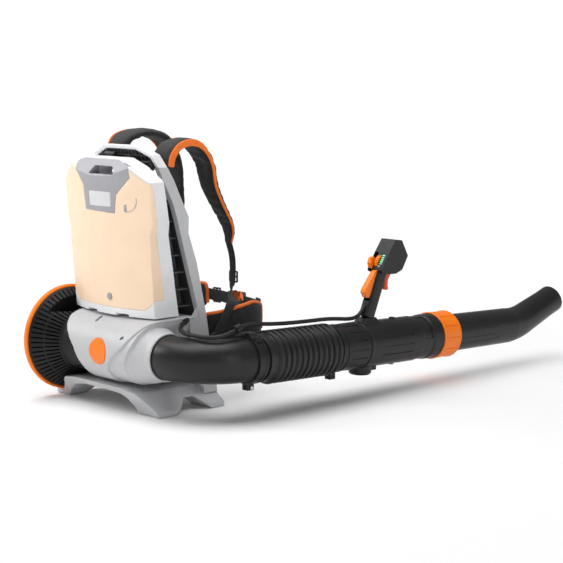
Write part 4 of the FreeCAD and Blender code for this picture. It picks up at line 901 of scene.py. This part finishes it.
def hip_pads():
    for side, plan, tops, bottoms in (
            ("right", [(113, 141), (132, 170), (142, 215), (143, 262), (128, 300)],
             [(138, 190), (190, 197), (262, 209), (308, 200)], [(138, 116), (280, 122), (308, 140)]),
            ("left", [(-113, 141), (-134, 170), (-144, 220), (-138, 270), (-112, 304), (-76, 322)],
             [(138, 190), (190, 197), (262, 212), (330, 224)], [(138, 116), (262, 132), (330, 172)])):
        stations = hip_stations(plan, tops, bottoms)
        name = "hip_pad_" + side
        total = sum((b[0] - a[0]).length for a, b in zip(stations, stations[1:]))
        pillow(name + "_pad", stations, "backpack", [name], MATERIALS["strap_fabric"], around=44,
               seams=(total * 0.45,), pull=4.0)
        outline = [c + UP * (h - 1.5) for c, a, n, h, t in stations]
        front = stations[-1]
        outline += [front[0] + UP * front[3] * share for share in (0.5, 0, -0.5, -0.95)]
        line = smooth_line(outline[::3] + outline[-4:], 3.0)
        verts, faces = lofted(tube(line, 4.6, Vector((1, 0.2, 0.1)).normalized(), 14))
        subdivided(piece(name + "_piping", verts, faces, TRIM["binding"], "backpack"))


def back_pads():
    tall = smooth_line([(0, 102, 402), (0, 112, 340), (0, 122, 290), (0, 133, 232)], 4.0)
    stations = []
    total = len(tall) - 1
    for i, (point, way) in enumerate(zip(tall, tangents(tall))):
        ends = min(i, total - i) * 4.0
        wide = 76 - (14 * (1 - math.sqrt(1 - (1 - ends / 16) ** 2)) if ends < 16 else 0)
        stations.append((point, RIGHT.copy(), RIGHT.cross(way).normalized(), wide, 5.6 if ends > 4 else 3.5))
    length = 4.0 * total
    pillow("back_pad_upper", stations, "backpack", ["back_pads"], TRIM["air_mesh"], around=52,
           seams=(length * 0.33, length * 0.66), pull=4.0)
    low = smooth_line([(0, 138.5, 206), (0, 144, 180), (0, 150, 118)], 4.0)
    stations = []
    total = len(low) - 1
    for i, (point, way) in enumerate(zip(low, tangents(low))):
        ends = min(i, total - i) * 4.0
        wide = 102 - (16 * (1 - math.sqrt(1 - (1 - ends / 18) ** 2)) if ends < 18 else 0)
        stations.append((point, RIGHT.copy(), RIGHT.cross(way).normalized(), wide, 5.4 if ends > 4 else 3.5))
    pillow("back_pad_lower", stations, "backpack", [], TRIM["air_mesh"], around=60, seams=(4.0 * total * 0.5,),
           pull=4.0)


# ---------------------------------------------------------------- small fittings

def found_on(name, start, way):
    """Where a ray in the machine's frame first meets a CAD node, in the same frame."""
    tree = BVHTree.FromObject(frame["nodes"][name], bpy.context.evaluated_depsgraph_get())
    hit = tree.ray_cast(LEVEL @ Vector(start), Vector(way))[0]
    return LEVEL.inverted() @ hit


def slab(name, centre, across, way, wide, tall, thick, material, body, width=0.8):
    """A flat rounded plate, square to across and way."""
    normal = across.cross(way).normalized()
    verts = [centre + across * (i * wide / 2) + way * (j * tall / 2) + normal * (k * thick / 2)
             for k in (-1, 1) for i, j in ((-1, -1), (1, -1), (1, 1), (-1, 1))]
    faces = [(0, 3, 2, 1), (4, 5, 6, 7), (0, 1, 5, 4), (1, 2, 6, 5), (2, 3, 7, 6), (3, 0, 4, 7)]
    return bevelled(piece(name, verts, faces, material, body, smooth=False), width)


def wire(name, line, radius, material, body, side=RIGHT, place=LEVEL):
    verts, faces = lofted(tube(smooth_line(line, 1.5), radius, side, 10))
    return piece(name, verts, faces, material, body, place)


def battery_marks():
    """The battery's small grey tab with its cord, and the raised frame round its label."""
    back = Vector((0, 1, 0))
    tab = found_on("battery_rear_shell", (84, -200, 424), back)
    slab("battery_tab", tab, RIGHT, UP, 7, 15, 2.4, MATERIALS["grey_panel"], "battery")
    line = [found_on("battery_rear_shell", (x, -200, z), back) for x, z in
            ((86, 417), (96, 418), (106, 424), (112, 434), (113, 446))]
    wire("battery_tab_cord", line, 0.8, MATERIALS["grey_panel"], "battery")
    low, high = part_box("battery_label")
    low, high = (LEVEL.inverted() @ low, LEVEL.inverted() @ high)
    corners = [(low.x, low.z), (high.x, low.z), (high.x, high.z), (low.x, high.z)]
    for k, ((x0, z0), (x1, z1)) in enumerate(zip(corners, corners[1:] + corners[:1])):
        ends = [found_on("battery_handle_panel", (x0 * 0.98, -200, z0), back),
                found_on("battery_handle_panel", (x1 * 0.98, -200, z1), back)]
        wire(f"battery_label_frame_{k}", [ends[0], ends[0].lerp(ends[1], 0.5), ends[1]], 0.7,
             MATERIALS["grey_panel"], "battery", Vector((0.1, 1, 0.1)))


def strap_anchors():
    """The dark plugs behind the battery's top that lock the straps to the plate."""
    lean = Vector((0, -0.44, 0.9)).normalized()
    for k, (x, z, wide, tall) in enumerate(((-34, 524, 34, 20), (24, 519, 22, 16), (76, 508, 34, 22))):
        centre = Vector((x, 34 + (518 - z) * 0.5, z)) - Vector((0, 6, 0))
        slab(f"strap_anchor_{k}", centre, RIGHT, lean, wide, tall, 9, TRIM["black_plastic"], "backpack",
             2.0)
        slab(f"strap_anchor_key_{k}", centre - Vector((0, 5, 2)), RIGHT, lean, wide * 0.62, tall * 0.4, 3,
             TRIM["black_plastic"], "backpack", 1.0)


def orange_tabs():
    """Short orange pulls: two on the right strap's crown and two on the hip belt."""
    for k, (x, y) in enumerate(((66, 112), (84, 126))):
        centre = Vector((x, y, 560.6 - (y - 112) * 0.02))
        slab(f"strap_tab_{k}", centre, RIGHT, Vector((0, 1, 0.03)).normalized(), 12, 5, 1.6, TRIM["binding"],
             "backpack", 0.6)
    facing = [(0, (0.2, 1, 0.4)), (1, (0.4, 0.8, 0.8))]
    for k, (points, width) in enumerate((
            (((92, 262, 206), (98, 262, 219), (118, 254, 224), (134, 240, 214)), 11),
            (((70, 268, 214), (80, 270, 222), (92, 268, 220), (100, 262, 208)), 9))):
        ribbon(f"belt_tab_{k}", points, facing, [(0, width), (1, width)], 1.8, "backpack", TRIM["binding"])


def nozzle_frames():
    """Long raised outlines moulded on the nozzle's flanks."""
    start, end = 700.0, 880.0
    far_out = 89.0
    tree = BVHTree.FromObject(frame["nodes"]["nozzle_tube"], bpy.context.evaluated_depsgraph_get())
    for k, middle_angle in enumerate((150, 210, 20, -20)):
        loop = []
        for y, turn in ((start, -9), (start, 9), (end - 18, 9), (end, 0), (end - 18, -9)):
            angle = math.radians(middle_angle + turn)
            way = Vector((math.cos(angle), 0, math.sin(angle)))
            outside = Vector((TUBE_X, y, DUCT_Z)) + way * far_out
            hit = tree.ray_cast(HOSE @ outside, (HOSE.to_3x3() @ -way).normalized())[0]
            loop.append(HOSE.inverted() @ hit)
        for j, (a, b) in enumerate(zip(loop, loop[1:] + loop[:1])):
            wire(f"nozzle_frame_{k}_{j}", [a, a.lerp(b, 0.5), b], 0.9, MATERIALS["black_tube"], "nozzle",
                 Vector((0.31, 0.2, 0.95)), HOSE)


# ---------------------------------------------------------------- scene

camera()
studio()
finish_cad()
cables()
bellows()
shoulder_straps()
webbing()
hip_pads()
back_pads()
battery_marks()
strap_anchors()
orange_tabs()
nozzle_frames()
